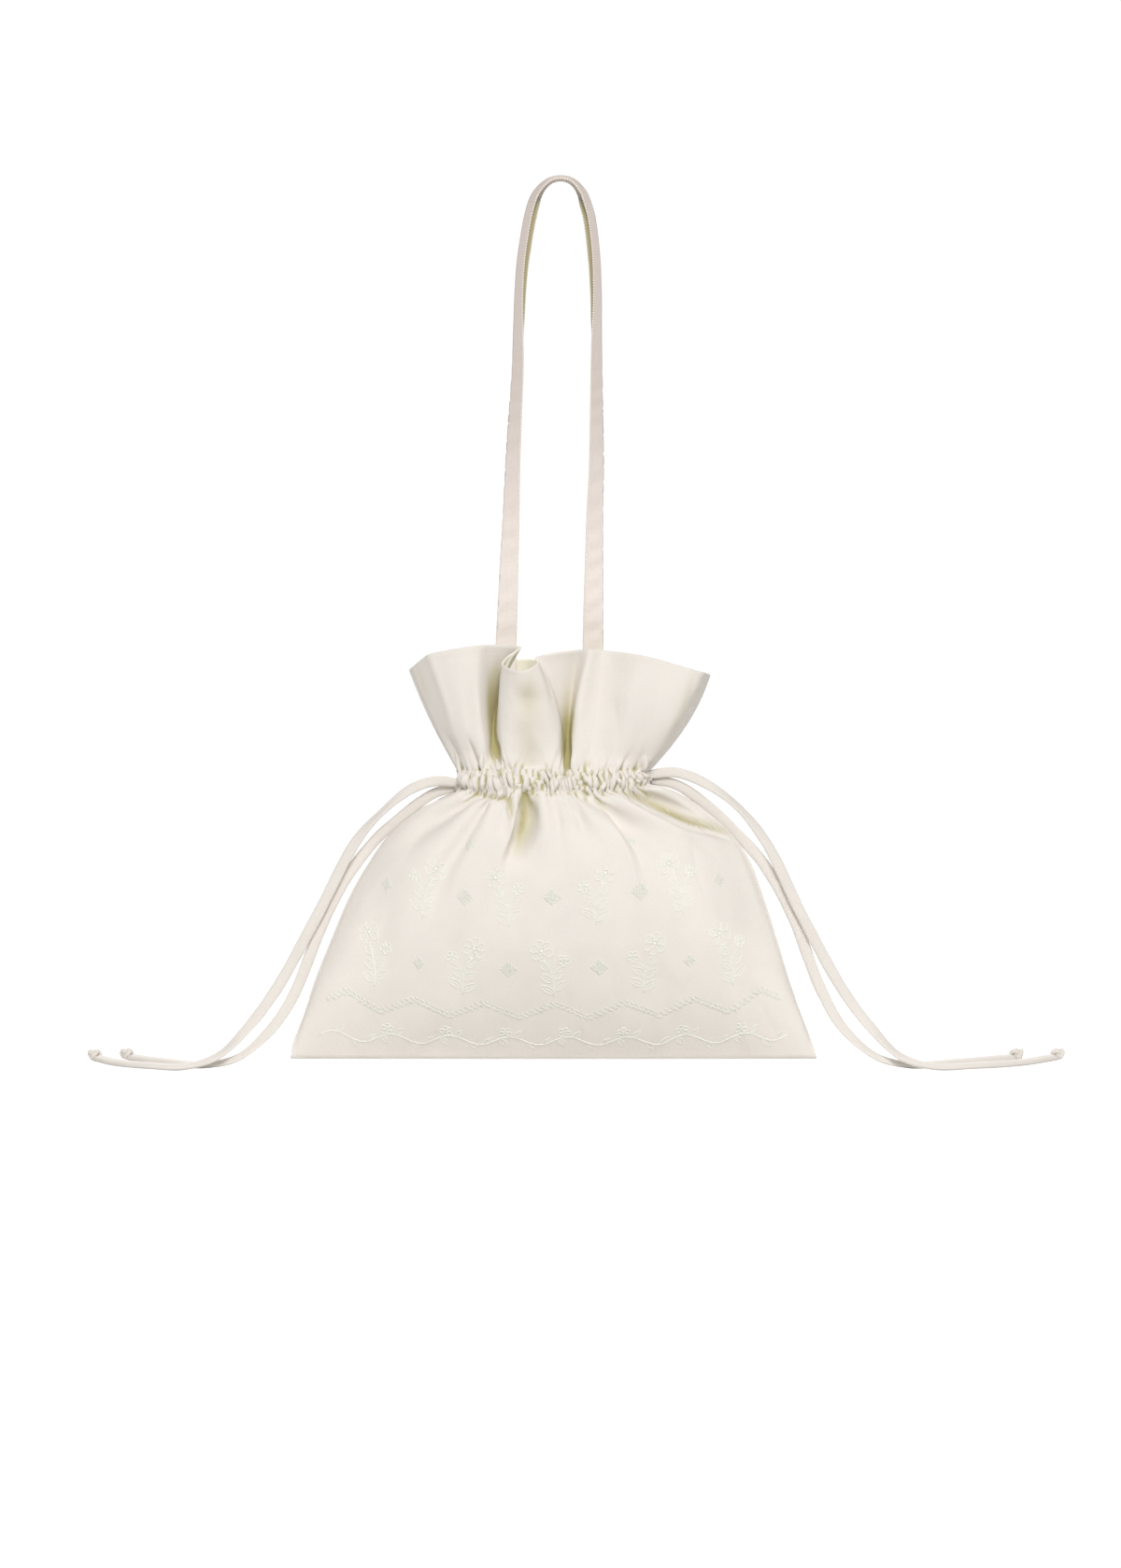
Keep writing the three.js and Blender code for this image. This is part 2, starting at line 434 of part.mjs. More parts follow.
// Casing strips: sewn to the panel along their upper and lower edges, bowed inwards
// between them to leave room for the drawstrings.
const CASING_SPAN = 0.84; // share of the panel's width, leaving the side slits open
const CASING_ROWS_Z = [CASING_LOW_Z, -526.2, -524.4, CHANNEL_MID_Z, NECK_TOP_Z - 0.2];
const CASING_ROWS_T = [0.018, 0.036];
for (const [name, panel] of [['front_casing', frontPanel], ['back_casing', backPanel]]) {
  const columns = columnsFor(panel.crease_s).filter((s) => Math.abs(s) < CASING_SPAN);
  const rows = [...CASING_ROWS_Z.map(bodyW), ...CASING_ROWS_T.map((t) => 1 + t)];
  const sewn = CLOTH / 2 + CASING_SEWN_GAP + CASING_CLOTH / 2;
  const inset = (s, w) => {
    const z = panel.point(s, w).z;
    const bow = smooth(CASING_LOW_Z, NECK_LOW_Z, z) * (1 - smooth(NECK_TOP_Z - 0.5, CASING_TOP_Z - 0.3, z));
    return THREE.MathUtils.lerp(sewn, CASING_INSET, bow);
  };
  add(name, wallSolid(panel, columns, rows, (s, w) => -inset(s, w) + CASING_CLOTH / 2, (s, w) => -inset(s, w) - CASING_CLOTH / 2), COLOURS.casing);
}

// Strap: a flat band that turns through a half turn between its two sewn ends.
{
  const positions = new THREE.CatmullRomCurve3(STRAP_STATIONS.map((p) => new THREE.Vector3(p.x, p.y, p.z)), false, 'centripetal');
  const share = STRAP_STATIONS.map((_, i) => i / (STRAP_STATIONS.length - 1));
  const turnAt = curveThrough(share, column(STRAP_STATIONS, 'turn'));
  const cupAt = curveThrough(share, column(STRAP_STATIONS, 'cup'));
  const rings = [];
  for (let i = 0; i <= STRAP_STEPS; i += 1) {
    const u = positions.getUtoTmapping(i / STRAP_STEPS, 0);
    const centre = positions.getPoint(u);
    const tangent = positions.getTangent(u);
    const turn = THREE.MathUtils.degToRad(turnAt(u));
    const edge = new THREE.Vector3(Math.cos(turn), Math.sin(turn), 0);
    edge.addScaledVector(tangent, -edge.dot(tangent)).normalize();
    const outward = edge.clone().cross(tangent).normalize();
    const at = (k, layer) =>
      centre.clone()
        .addScaledVector(edge, (k * STRAP_WIDTH) / 2)
        .addScaledVector(outward, cupAt(u) * (0.5 - k * k) + (layer * STRAP_THICKNESS) / 2);
    const across = [-1, -0.5, 0, 0.5, 1];
    rings.push([...across.map((k) => at(k, 1)), ...across.slice().reverse().map((k) => at(k, -1))]);
  }
  add('strap', ringSolid(rings), COLOURS.strap);
}

// A cord with a flat oval section along a curve. The wide side stands in the plane
// that the curve runs in, seen from the front, and roll turns it about the curve.
function cordSolid(curve, steps, rollAt, width, thickness) {
  const rings = [];
  for (let i = 0; i <= steps; i += 1) {
    const u = curve.getUtoTmapping(i / steps, 0);
    const centre = curve.getPoint(u);
    const tangent = curve.getTangent(u);
    const wide = tangent.clone().cross(new THREE.Vector3(0, 1, 0)).normalize();
    wide.applyAxisAngle(tangent, THREE.MathUtils.degToRad(rollAt(u)));
    const thin = tangent.clone().cross(wide).normalize();
    rings.push(
      Array.from({ length: CORD_SIDES }, (_, k) => {
        const a = (2 * Math.PI * (k + 0.5)) / CORD_SIDES;
        return centre.clone().addScaledVector(wide, (Math.cos(a) * width) / 2).addScaledVector(thin, (Math.sin(a) * thickness) / 2);
      }),
    );
  }
  return ringSolid(rings);
}
for (const [name, table] of Object.entries(TAILS)) {
  const curve = new THREE.CatmullRomCurve3(table.map((p) => new THREE.Vector3(p.x, p.y, p.z)), false, 'centripetal');
  const rollSign = name.includes('left') ? 1 : -1;
  const roll = curveThrough(table.map((_, i) => i / (table.length - 1)), column(table, 'roll'));
  add(name, cordSolid(curve, TAIL_STEPS, (u) => rollSign * roll(u), CORD_WIDTH, CORD_THICKNESS), COLOURS.cord);

  // Knot on the end of this tail, lying along the cord's last heading.
  const profile = [new THREE.Vector2(0, KNOT_PROFILE[0].along), ...KNOT_PROFILE.map((k) => new THREE.Vector2(k.radius, k.along)),
    new THREE.Vector2(0, KNOT_PROFILE[KNOT_PROFILE.length - 1].along)];
  const lathe = new THREE.LatheGeometry(profile, KNOT_SIDES);
  const heading = curve.getTangent(1).setZ(0).normalize();
  const end = curve.getPoint(1);
  const knot = add(name.replace('_tail_', '_knot_'), lathe, COLOURS.cord);
  knot.quaternion.setFromUnitVectors(new THREE.Vector3(0, 1, 0), heading);
  knot.position.copy(end).addScaledVector(heading, 2 * GAP).setZ(end.z + KNOT_LIFT);
}

// Hidden stretch of each drawstring: in at its own side slit, along the channel of one
// panel, round the far side and back along the other panel.
function channelLoop(ownSide, laneZ) {
  const w = bodyW(laneZ);
  const inset = (panel, s) => panel.point(s, w).addScaledVector(panel.normal(s, w), -LANE_INSET);
  const stations = [-0.86, -0.76, -0.6, -0.35, -0.1, 0.1, 0.35, 0.6, 0.76, 0.86];
  const edgeX = (s) => frontPanel.point(s, w).x;
  const slitX = edgeX(ownSide) + ownSide * 2.6;
  const laneY = SIDE_SLIT / 4;
  const order = ownSide < 0 ? stations : stations.slice().reverse();
  const points = [
    new THREE.Vector3(slitX, -laneY, laneZ),
    new THREE.Vector3(edgeX(ownSide) - ownSide * 6.2, -laneY, laneZ),
    ...order.map((s) => inset(frontPanel, s)),
    new THREE.Vector3(edgeX(-ownSide) + ownSide * 8.4, 0, laneZ),
    ...order.slice().reverse().map((s) => inset(backPanel, s)),
    new THREE.Vector3(edgeX(ownSide) - ownSide * 6.2, laneY, laneZ),
    new THREE.Vector3(slitX, laneY, laneZ),
  ];
  points.forEach((p) => p.setZ(laneZ));
  return new THREE.CatmullRomCurve3(points, false, 'centripetal');
}
const CHANNEL_STEPS = 40;
for (const [name, ownSide, laneZ] of [['drawstring_left_channel', -1, LEFT_LANE_Z], ['drawstring_right_channel', 1, RIGHT_LANE_Z]]) {
  const curve = channelLoop(ownSide, laneZ);
  const rings = [];
  for (let i = 0; i <= CHANNEL_STEPS; i += 1) {
    const u = curve.getUtoTmapping(i / CHANNEL_STEPS, 0);
    const centre = curve.getPoint(u);
    const sideways = curve.getTangent(u).cross(new THREE.Vector3(0, 0, 1)).normalize();
    rings.push([[1, 1], [-1, 1], [-1, -1], [1, -1]].map(([a, b]) =>
      centre.clone().addScaledVector(sideways, (a * LANE_THICKNESS) / 2).add(new THREE.Vector3(0, 0, (b * LANE_HEIGHT) / 2))));
  }
  add(name, ringSolid(rings), COLOURS.cord);
}

export default bag;
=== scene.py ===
"""Looks of a gathered cotton drawstring bag that hangs by its strap.

The cloth is draped here by a small position-based relaxation of the two panels, from
the same tables as the part's solids. Tables are in millimetres, objects in metres,
+Z up, front of the bag towards -Y, origin under the strap's highest point.
"""
import math

import bpy
import numpy as np
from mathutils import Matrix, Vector
from mathutils.bvhtree import BVHTree


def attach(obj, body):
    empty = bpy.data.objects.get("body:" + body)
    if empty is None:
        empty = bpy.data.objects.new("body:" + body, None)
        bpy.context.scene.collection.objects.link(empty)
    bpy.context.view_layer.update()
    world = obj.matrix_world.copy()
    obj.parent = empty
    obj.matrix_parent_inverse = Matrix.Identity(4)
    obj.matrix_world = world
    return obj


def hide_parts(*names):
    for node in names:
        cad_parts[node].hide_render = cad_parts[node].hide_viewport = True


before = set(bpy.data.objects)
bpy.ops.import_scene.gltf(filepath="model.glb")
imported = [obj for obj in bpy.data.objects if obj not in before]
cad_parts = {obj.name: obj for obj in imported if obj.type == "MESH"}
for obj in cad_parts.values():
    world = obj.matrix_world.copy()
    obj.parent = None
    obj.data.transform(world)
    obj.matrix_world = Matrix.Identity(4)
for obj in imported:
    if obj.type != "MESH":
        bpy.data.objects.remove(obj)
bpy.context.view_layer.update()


# ---------------------------------------------------------------- shape tables (mm)
# The same driving tables as the part's source: cross-sections of the pouch
# (z, left, right, belly), creases of the frill (rim x, rim out, rim z, mid x, mid
# out, neck x) and folds below the neck.
NECK_LOW_Z, NECK_TOP_Z = -524.8, -508.8
WALL, GAP, SIDE_SLIT, ROUNDNESS, BACK_FULLNESS = 1.4, 0.3, 7.4, 2.6, 0.92
SECTIONS = np.array([
    (-754.4, -231.2, 219.6, 0.4), (-743.2, -229.6, 216.4, 3.4), (-720.0, -220.8, 207.2, 10.0),
    (-688.0, -210.4, 196.0, 19.5), (-652.0, -196.0, 185.2, 29.5), (-616.0, -180.8, 173.6, 38.0),
    (-584.0, -162.4, 161.6, 43.5), (-562.4, -146.4, 146.4, 43.5), (-544.0, -122.4, 125.6, 39.5),
    (-535.2, -103.2, 108.0, 34.5), (-527.6, -87.8, 76.8, 29.8), (-516.8, -87.2, 76.0, 29.6),
    (-508.8, -87.2, 75.2, 29.6)])
FRONT_CREASES = np.array([
    (-129.6, 1.2, -421.6, -111.2, 1.2, -87.2), (-115.0, 20.8, -411.0, -98.4, 17.6, -83.2),
    (-112.0, 25.0, -408.8, -95.2, 21.6, -81.8), (-107.2, 26.4, -407.8, -92.0, 23.0, -79.9),
    (-84.8, 30.4, -404.0, -80.0, 27.2, -71.8), (-70.0, 28.8, -401.8, -70.4, 27.0, -63.7),
    (-60.0, 23.2, -401.0, -62.4, 16.8, -59.5), (-33.6, 12.0, -402.4, -55.2, 6.0, -53.3),
    (-49.2, 25.6, -416.8, -52.0, 27.0, -47.2), (-42.0, 39.6, -422.2, -44.0, 34.4, -40.6),
    (-32.8, 45.6, -424.4, -30.0, 37.6, -29.5), (-19.6, 39.6, -416.8, -10.4, 32.6, -11.8),
    (-21.2, 26.4, -411.6, -5.0, 25.6, -5.2), (-10.4, 23.0, -408.8, -1.0, 17.0, -1.0),
    (4.0, 20.0, -406.2, 3.4, 11.6, 2.1), (14.0, 17.6, -405.4, 8.6, 8.0, 4.8),
    (25.2, 24.0, -405, 16.0, 26.4, 9.8), (36.0, 19.6, -405.6, 29.6, 21.6, 22.9),
    (72.0, 33.6, -411.2, 57.6, 32.8, 44.4), (108.0, 32.6, -421.2, 84.0, 31.6, 62.3),
    (117.6, 29.6, -423.8, 94.8, 28.8, 68.7), (121.4, 26.0, -424.4, 98.8, 25.2, 70.4),
    (124.2, 15.6, -424.9, 102.8, 14.4, 71.9), (128.0, 1.2, -425.6, 108.8, 1.2, 75.2)])
BACK_CREASES = np.array([
    (-129.6, 1.2, -421.6, -111.2, 1.2, -87.2), (-114.4, 22.4, -412.8, -99.2, 20.0, -81.8),
    (-90.4, 30.4, -414.4, -83.2, 28.0, -71.0), (-71.2, 17.6, -412.8, -69.6, 17.6, -61.8),
    (-58.4, 24.8, -411.2, -57.6, 25.6, -51.8), (-32.8, 24.8, -411.2, -33.6, 25.6, -35.6),
    (-8.8, 10.4, -412.8, -9.6, 12.8, -11.8), (13.6, 24.8, -411.2, 12.0, 25.6, 9.0),
    (39.2, 24.8, -412.0, 36.8, 25.6, 27.5), (55.2, 15.2, -414.4, 49.6, 17.6, 38.3),
    (77.6, 31.2, -416.8, 64.0, 29.6, 49.0), (100.0, 30.4, -420.8, 82.4, 27.2, 62.1),
    (116.8, 20.8, -424.8, 99.2, 17.6, 70.6), (128.0, 1.2, -425.6, 108.8, 1.2, 75.2)])
# (x at the neck, x and z of the lower end, depth, width at the top, width at the end, start share)
FRONT_FOLDS = [
    (-27.0, -44.0, -590.0, 15.0, 7.5, 14.0, 0.0), (-43.0, -50.0, -556.0, 8.0, 4.0, 8.0, 0.0),
    (-56.0, -70.0, -640.0, 4.5, 8.0, 16.0, 0.25), (33.0, 70.0, -606.0, 7.5, 6.5, 13.0, 0.0),
    (48.0, 96.0, -596.0, 6.0, 6.0, 12.0, 0.0), (66.0, 142.0, -562.0, 12.0, 7.0, 9.0, 0.0),
    (-72.0, -112.0, -560.0, 6.0, 5.0, 9.0, 0.0), (-4.0, -2.0, -560.0, 3.0, 6.0, 9.0, 0.0)]
BACK_FOLDS = [
    (-48.0, -84.0, -626.0, 9.0, 8.0, 16.0, 0.0), (-8.0, -4.0, -640.0, 10.0, 8.0, 17.0, 0.0),
    (44.0, 84.0, -620.0, 9.0, 8.0, 15.0, 0.0), (-70.0, -130.0, -566.0, 8.0, 6.0, 9.0, 0.0),
    (66.0, 128.0, -566.0, 8.0, 6.0, 9.0, 0.0), (20.0, 34.0, -580.0, 6.0, 6.0, 10.0, 0.0)]

# Cloth heights above the bottom seam, along the cloth: neck stitch rows and rim.
V_LOW, V_TOP, V_RIM = 262.0, 278.0, 386.0
V_ROWS = np.concatenate([np.linspace(0, 180, 41), np.linspace(180, V_LOW, 41)[1:],
                         np.linspace(V_LOW, V_TOP, 17)[1:], np.linspace(V_TOP, V_RIM, 57)[1:]])
COLUMNS = 321
# Cloth at these heights against the room it has: what is over 1 stands in folds.
FULL_V = np.array([0, 60, 100, 150, 200, 230, 252, 262, 278, 288, 300, 330, V_RIM])
FRONT_FULL = np.array([1.0, 1.006, 1.012, 1.02, 1.05, 1.16, 1.45, 1.66, 1.66, 1.28, 1.09, 1.02, 1.005])
BACK_FULL = np.array([1.0, 1.006, 1.012, 1.02, 1.05, 1.16, 1.45, 1.66, 1.66, 1.30, 1.12, 1.04, 1.01])


def smooth(a, b, v):
    t = np.clip((v - a) / (b - a), 0, 1)
    return t * t * (3 - 2 * t)


def lerp(a, b, t):
    return a + (b - a) * t


def curve_through(knots, values):
    """Cubic through the knots that never overshoots."""
    k, v = np.asarray(knots, float), np.asarray(values, float)
    h = np.diff(k)
    slope = np.diff(v) / h
    tan = np.zeros(len(k))
    tan[0], tan[-1] = slope[0], slope[-1]
    for i in range(1, len(k) - 1):
        if slope[i - 1] * slope[i] > 0:
            a, b = 2 * h[i] + h[i - 1], h[i] + 2 * h[i - 1]
            tan[i] = (a + b) / (a / slope[i - 1] + b / slope[i])

    def value(x):
        x = np.asarray(x, float)
        i = np.clip(np.searchsorted(k, x) - 1, 0, len(k) - 2)
        t = np.clip((x - k[i]) / h[i], 0, 1)
        t2, t3 = t * t, t * t * t
        return ((2 * t3 - 3 * t2 + 1) * v[i] + (t3 - 2 * t2 + t) * h[i] * tan[i]
                + (3 * t2 - 2 * t3) * v[i + 1] + (t3 - t2) * h[i] * tan[i + 1])
    return value


left_at = curve_through(SECTIONS[:, 0], SECTIONS[:, 1])
right_at = curve_through(SECTIONS[:, 0], SECTIONS[:, 2])
belly_at = curve_through(SECTIONS[:, 0], SECTIONS[:, 3])
BOTTOM_Z = SECTIONS[0, 0]


def seam_half(z):
    open_share = smooth(NECK_LOW_Z - 9, NECK_LOW_Z - 1, z) * (1 - smooth(NECK_TOP_Z + 1, NECK_TOP_Z + 9, z))
    return lerp(WALL / 2 + GAP / 2, SIDE_SLIT / 2 + WALL / 2, open_share)


class Panel:
    """Rest surface of one panel: s from the left seam (-1) to the right seam (1)."""

    def __init__(self, creases, folds, side, fullness):
        run = np.concatenate([[0], np.cumsum(np.linalg.norm(np.diff(creases[:, :3], axis=0), axis=1))])
        self.at = [curve_through(2 * run / run[-1] - 1, creases[:, i]) for i in range(6)]
        self.folds, self.side, self.fullness = folds, side, fullness

    def body(self, s, z):
        s, z = np.broadcast_arrays(s, z)
        even = lerp(left_at(z), right_at(z), (s + 1) / 2)
        gathered = self.at[5](s) + even - lerp(left_at(NECK_TOP_Z), right_at(NECK_TOP_Z), (s + 1) / 2)
        x = lerp(even, gathered, smooth(-600, NECK_LOW_Z, z))
        out = belly_at(z) * self.fullness * (1 - np.abs(s) ** ROUNDNESS)
        return np.stack([x, self.side * (out + seam_half(z)), z])

    def fold_depth(self, s, x, z):
        depth = np.zeros_like(x)
        for top_x, end_x, end_z, deep, top_w, end_w, start in self.folds:
            down = (NECK_LOW_Z - z) / (NECK_LOW_Z - end_z)
            fx = lerp(top_x, end_x, down)
            width = lerp(top_w, end_w, np.clip(down, 0, 1))
            along = smooth(start + 0.01, start + 0.2, down) * (1 - smooth(0.4, 1.15, down))
            depth += deep * along * (1 - np.abs(s) ** 8) * np.exp(-((x - fx) / width) ** 2)
        return depth

    def frill(self, s, t):
        s, t = np.broadcast_arrays(s, t)
        neck_out = belly_at(NECK_TOP_Z) * self.fullness * (1 - np.abs(s) ** ROUNDNESS)
        a, b, c = (t - 0.5) * (t - 1) / 0.5, t * (t - 1) / -0.25, t * (t - 0.5) / 0.5
        x = a * self.at[5](s) + b * self.at[3](s) + c * self.at[0](s)
        out = np.maximum(0, a * neck_out + b * self.at[4](s) + c * self.at[1](s))
        z = lerp(NECK_TOP_Z, self.at[2](s), t)
        return np.stack([x, self.side * (out + seam_half(z)), z])

    def grid(self, s, v):
        """Positions (3, rows, columns) with rows spread by length along each column."""
        z = np.linspace(BOTTOM_Z, NECK_LOW_Z, 400)
        body = self.body(s[:, None], z[None])
        t = np.linspace(0, 1, 160)
        frill = self.frill(s[:, None], t[None])

        def run(p):
            return np.concatenate([np.zeros((len(s), 1)), np.cumsum(np.linalg.norm(np.diff(p, axis=2), axis=0), 1)], 1)
        body_run, frill_run = run(body), run(frill)
        low, top = v <= V_LOW + 1e-6, v > V_TOP + 1e-6
        mid = ~low & ~top
        p = np.zeros((3, len(v), len(s)))
        for c in range(len(s)):
            p[:, low, c] = self.body(s[c], np.interp(v[low] / V_LOW, body_run[c] / body_run[c, -1], z))
            p[:, mid, c] = self.body(s[c], lerp(NECK_LOW_Z, NECK_TOP_Z, (v[mid] - V_LOW) / (V_TOP - V_LOW)))
            p[:, top, c] = self.frill(s[c], np.interp((v[top] - V_TOP) / (V_RIM - V_TOP), frill_run[c] / frill_run[c, -1], t))
        return p, body_run[:, -1], frill_run[:, -1]


class Gathers:
    """Fine uneven gathers of the neck: ridge height 0..1 at cloth place (s, v)."""

    def __init__(self, seed, count):
        rng = np.random.RandomState(seed)
        self.rows = []
        for _ in range(2):
            gap = rng.uniform(0.4, 1.7, count)
            self.rows.append(np.concatenate([[0], np.cumsum(gap)]) / gap.sum() * 2 - 1)
        self.rows[1] = 0.45 * self.rows[0] + 0.55 * self.rows[1]
        self.count = np.arange(count + 1.0)
        self.height = rng.uniform(0.35, 1.25, count + 1)
        self.fall_down, self.fall_up = rng.uniform(3, 12, count + 1), rng.uniform(2, 7, count + 1)

    def __call__(self, s, v):
        s, v = np.broadcast_arrays(s, v)
        k0, k1 = np.interp(s, self.rows[0], self.count), np.interp(s, self.rows[1], self.count)
        k = lerp(k0, k1, np.clip((v - V_LOW) / (V_TOP - V_LOW), -0.6, 1.6))
        ridge = np.abs(np.sin(np.pi * k)) ** 0.9
        fall = np.where(v < V_LOW, np.exp((v - V_LOW) / np.interp(k, self.count, self.fall_down)),
                        np.where(v > V_TOP, np.exp((V_TOP - v) / np.interp(k, self.count, self.fall_up)), 1.0))
        return ridge * np.interp(k, self.count, self.height) * fall * smooth(0, 0.05, 1 - np.abs(s))


def grid_normals(p):
    du, dv = np.empty_like(p), np.empty_like(p)
    du[:, :, 1:-1] = p[:, :, 2:] - p[:, :, :-2]
    du[:, :, 0], du[:, :, -1] = p[:, :, 1] - p[:, :, 0], p[:, :, -1] - p[:, :, -2]
    dv[:, 1:-1] = p[:, 2:] - p[:, :-2]
    dv[:, 0], dv[:, -1] = p[:, 1] - p[:, 0], p[:, -1] - p[:, -2]
    n = np.stack([du[1] * dv[2] - du[2] * dv[1], du[2] * dv[0] - du[0] * dv[2], du[0] * dv[1] - du[1] * dv[0]])
    return n / (np.sqrt((n * n).sum(0)) + 1e-9)


def pull(a, b, wa, wb, rest, k):
    """Move two sets of points along the lines between them towards their rest distance."""
    d = b - a
    length = np.sqrt(d[0] * d[0] + d[1] * d[1] + d[2] * d[2]) + 1e-6
    d *= k * (length - rest) / (length * (wa + wb + 1e-6))
    a += wa * d
    b -= wb * d


def settle(p, w, rest_h, rest_v, side, rounds, push, bend, bend_wide, goal, goal_k, floor_y=0.85):
    """Position-based cloth: rest lengths, shear, bending, inside pressure and goals."""
    rows, cols = w.shape
    rest_d = np.sqrt((0.5 * (rest_h[:-1] + rest_h[1:])) ** 2 + (0.5 * (rest_v[:, :-1] + rest_v[:, 1:])) ** 2)
    before = p.copy()
    col_pairs = [(slice(0, cols - 1, 2), slice(1, cols, 2)), (slice(1, cols - 1, 2), slice(2, cols, 2))]
    row_pairs = [(slice(0, rows - 1, 2), slice(1, rows, 2)), (slice(1, rows - 1, 2), slice(2, rows, 2))]
    for _ in range(rounds):
        step = (p - before) * 0.85 * w
        before = p.copy()
        p += step
        p += push * w * grid_normals(p) * -side * NORMAL_SIGN
        p += goal_k * w * (goal - p)
        for a, b in col_pairs:
            pull(p[:, :, a], p[:, :, b], w[:, a], w[:, b], rest_h[:, a], 1.0)
        for a, b in row_pairs:
            pull(p[:, a], p[:, b], w[a], w[b], rest_v[a], 1.0)
        for a, b in row_pairs:
            pull(p[:, a, :-1], p[:, b, 1:], w[a, :-1], w[b, 1:], rest_d[a], 0.35)
            pull(p[:, a, 1:], p[:, b, :-1], w[a, 1:], w[b, :-1], rest_d[a], 0.35)
        for gap, k in ((1, bend), (2, bend_wide)):
            if k:
                d = k * (p[:, :, gap:-gap] - 0.5 * (p[:, :, :-2 * gap] + p[:, :, 2 * gap:]))
                p[:, :, gap:-gap] -= 0.5 * d * w[:, gap:-gap]
                p[:, :, :-2 * gap] += 0.25 * d * w[:, :-2 * gap]
                p[:, :, 2 * gap:] += 0.25 * d * w[:, 2 * gap:]
                d = k * (p[:, gap:-gap] - 0.5 * (p[:, :-2 * gap] + p[:, 2 * gap:]))
                p[:, gap:-gap] -= 0.5 * d * w[gap:-gap]
                p[:, :-2 * gap] += 0.25 * d * w[:-2 * gap]
                p[:, 2 * gap:] += 0.25 * d * w[2 * gap:]
        p[1] = np.where(w > 0, side * np.maximum(side * p[1], floor_y), p[1])
    return p


NORMAL_SIGN = 1.0


def refine(p):
    """Twice as many rows and columns, with cubic midpoints."""
    for axis in (1, 2):
        q = np.moveaxis(p, axis, 0)
        e = np.concatenate([2 * q[:1] - q[1:2], q, 2 * q[-1:] - q[-2:-1]], 0)
        out = np.zeros((2 * len(q) - 1,) + q.shape[1:], q.dtype)
        out[::2] = q
        out[1::2] = (-e[:-3] + 9 * e[1:-2] + 9 * e[2:-1] - e[3:]) / 16
        p = np.moveaxis(out, 0, axis)
    return np.ascontiguousarray(p)


# step of the grid, rounds, inside pressure, bending, wide bending, fold seed, cloth limit
LEVELS = [(4, 300, 0.008, 0.25, 0.0, 0.6, 1.05), (2, 240, 0.0025, 0.25, 0.0, 0.8, 1.14), (1, 320, 0.0006, 0.28, 0.06, 0.35, 9.0)]
GATHER_HEIGHT = 2.2


def drape(creases, folds, full, side, fullness, seed, gather_count, log=False):
    panel = Panel(creases, folds, side, fullness)
    gathers = Gathers(seed, gather_count)
    full_at = curve_through(FULL_V, full)
    s_all = np.linspace(-1, 1, COLUMNS)
    p = None
    for step, rounds, push, bend, bend_wide, seed_share, limit in LEVELS:
        s, v = s_all[::step], V_ROWS[::step]
        base, body_len, frill_len = panel.grid(s, v)
        out = grid_normals(base)
        out *= np.sign((out[1] * side).mean())
        room = np.linalg.norm(np.diff(base, axis=2), axis=0)
        rest_h = room * np.minimum(full_at(v), limit)[:, None]
        neck_row = np.argmin(np.abs(v - 0.5 * (V_LOW + V_TOP)))
        place = np.concatenate([[0], np.cumsum(room[neck_row])])
        place = 2 * place / place[-1] - 1
        mid_v = 0.5 * (v[1:] + v[:-1])
        rest_v = np.repeat(np.diff(v)[:, None], len(s), 1)
        rest_v[mid_v < V_LOW] *= body_len * (1 + 0.02 * (1 - np.abs(s) ** 4)) / V_LOW
        rest_v[mid_v > V_TOP] *= frill_len / (V_RIM - V_TOP)
        w = np.ones((len(v), len(s)))
        w[0], w[:, 0], w[:, -1] = 0, 0, 0
        stitched = (np.abs(v - V_LOW) < 1) | (np.abs(v - V_TOP) < 1)
        w[stitched] = 0
        neck = (v > V_LOW - 1) & (v < V_TOP + 1)
        ridge = gathers(place[None], v[:, None]) * GATHER_HEIGHT * {4: 0.0, 2: 0.35, 1: 1.0}[step]
        puff = np.sin(np.pi * np.clip((v - V_LOW) / (V_TOP - V_LOW), 0, 1))[:, None] * 1.2
        gathered = base + out * (ridge + puff * (0.4 + 0.6 * ridge / GATHER_HEIGHT) - 0.2)
        p = base.copy() if p is None else refine(p)
        p -= out * seed_share * panel.fold_depth(s[None] + 0 * v[:, None], base[0], base[2]) * (v < V_LOW)[:, None]
        p[:, neck] = gathered[:, neck]
        p[:, 0], p[:, :, 0], p[:, :, -1] = base[:, 0], base[:, :, 0], base[:, :, -1]
        if step == 1:
            near = ~neck & (v > V_LOW - 50) & (v < V_TOP + 45)
            p[:, near] += (out * ridge)[:, near]
        goal, goal_k = base.copy(), np.zeros_like(w)
        goal[:, neck] = gathered[:, neck]
        goal_k[neck] = 0.10
        frill = v > V_TOP + 6
        goal_k[frill] = 0.05 * smooth(V_TOP + 4, V_TOP + 50, v[frill])[:, None]
        goal_k[-1] = 0.10
        press = push * (v < V_LOW - 2)[:, None] * np.ones_like(w)
        f = np.float32
        p = settle(p.astype(f), w.astype(f), rest_h.astype(f), rest_v.astype(f), side, rounds, press.astype(f), bend, bend_wide,
                   goal.astype(f), goal_k.astype(f))
        if log:
            ex = np.linalg.norm(np.diff(p, axis=2), axis=0) / rest_h
            print(step, p.shape, 'stretch', np.percentile(ex, [1, 50, 99]).round(3), 'depth', (p[1] * side).max().round(1))
    return p.astype(float)


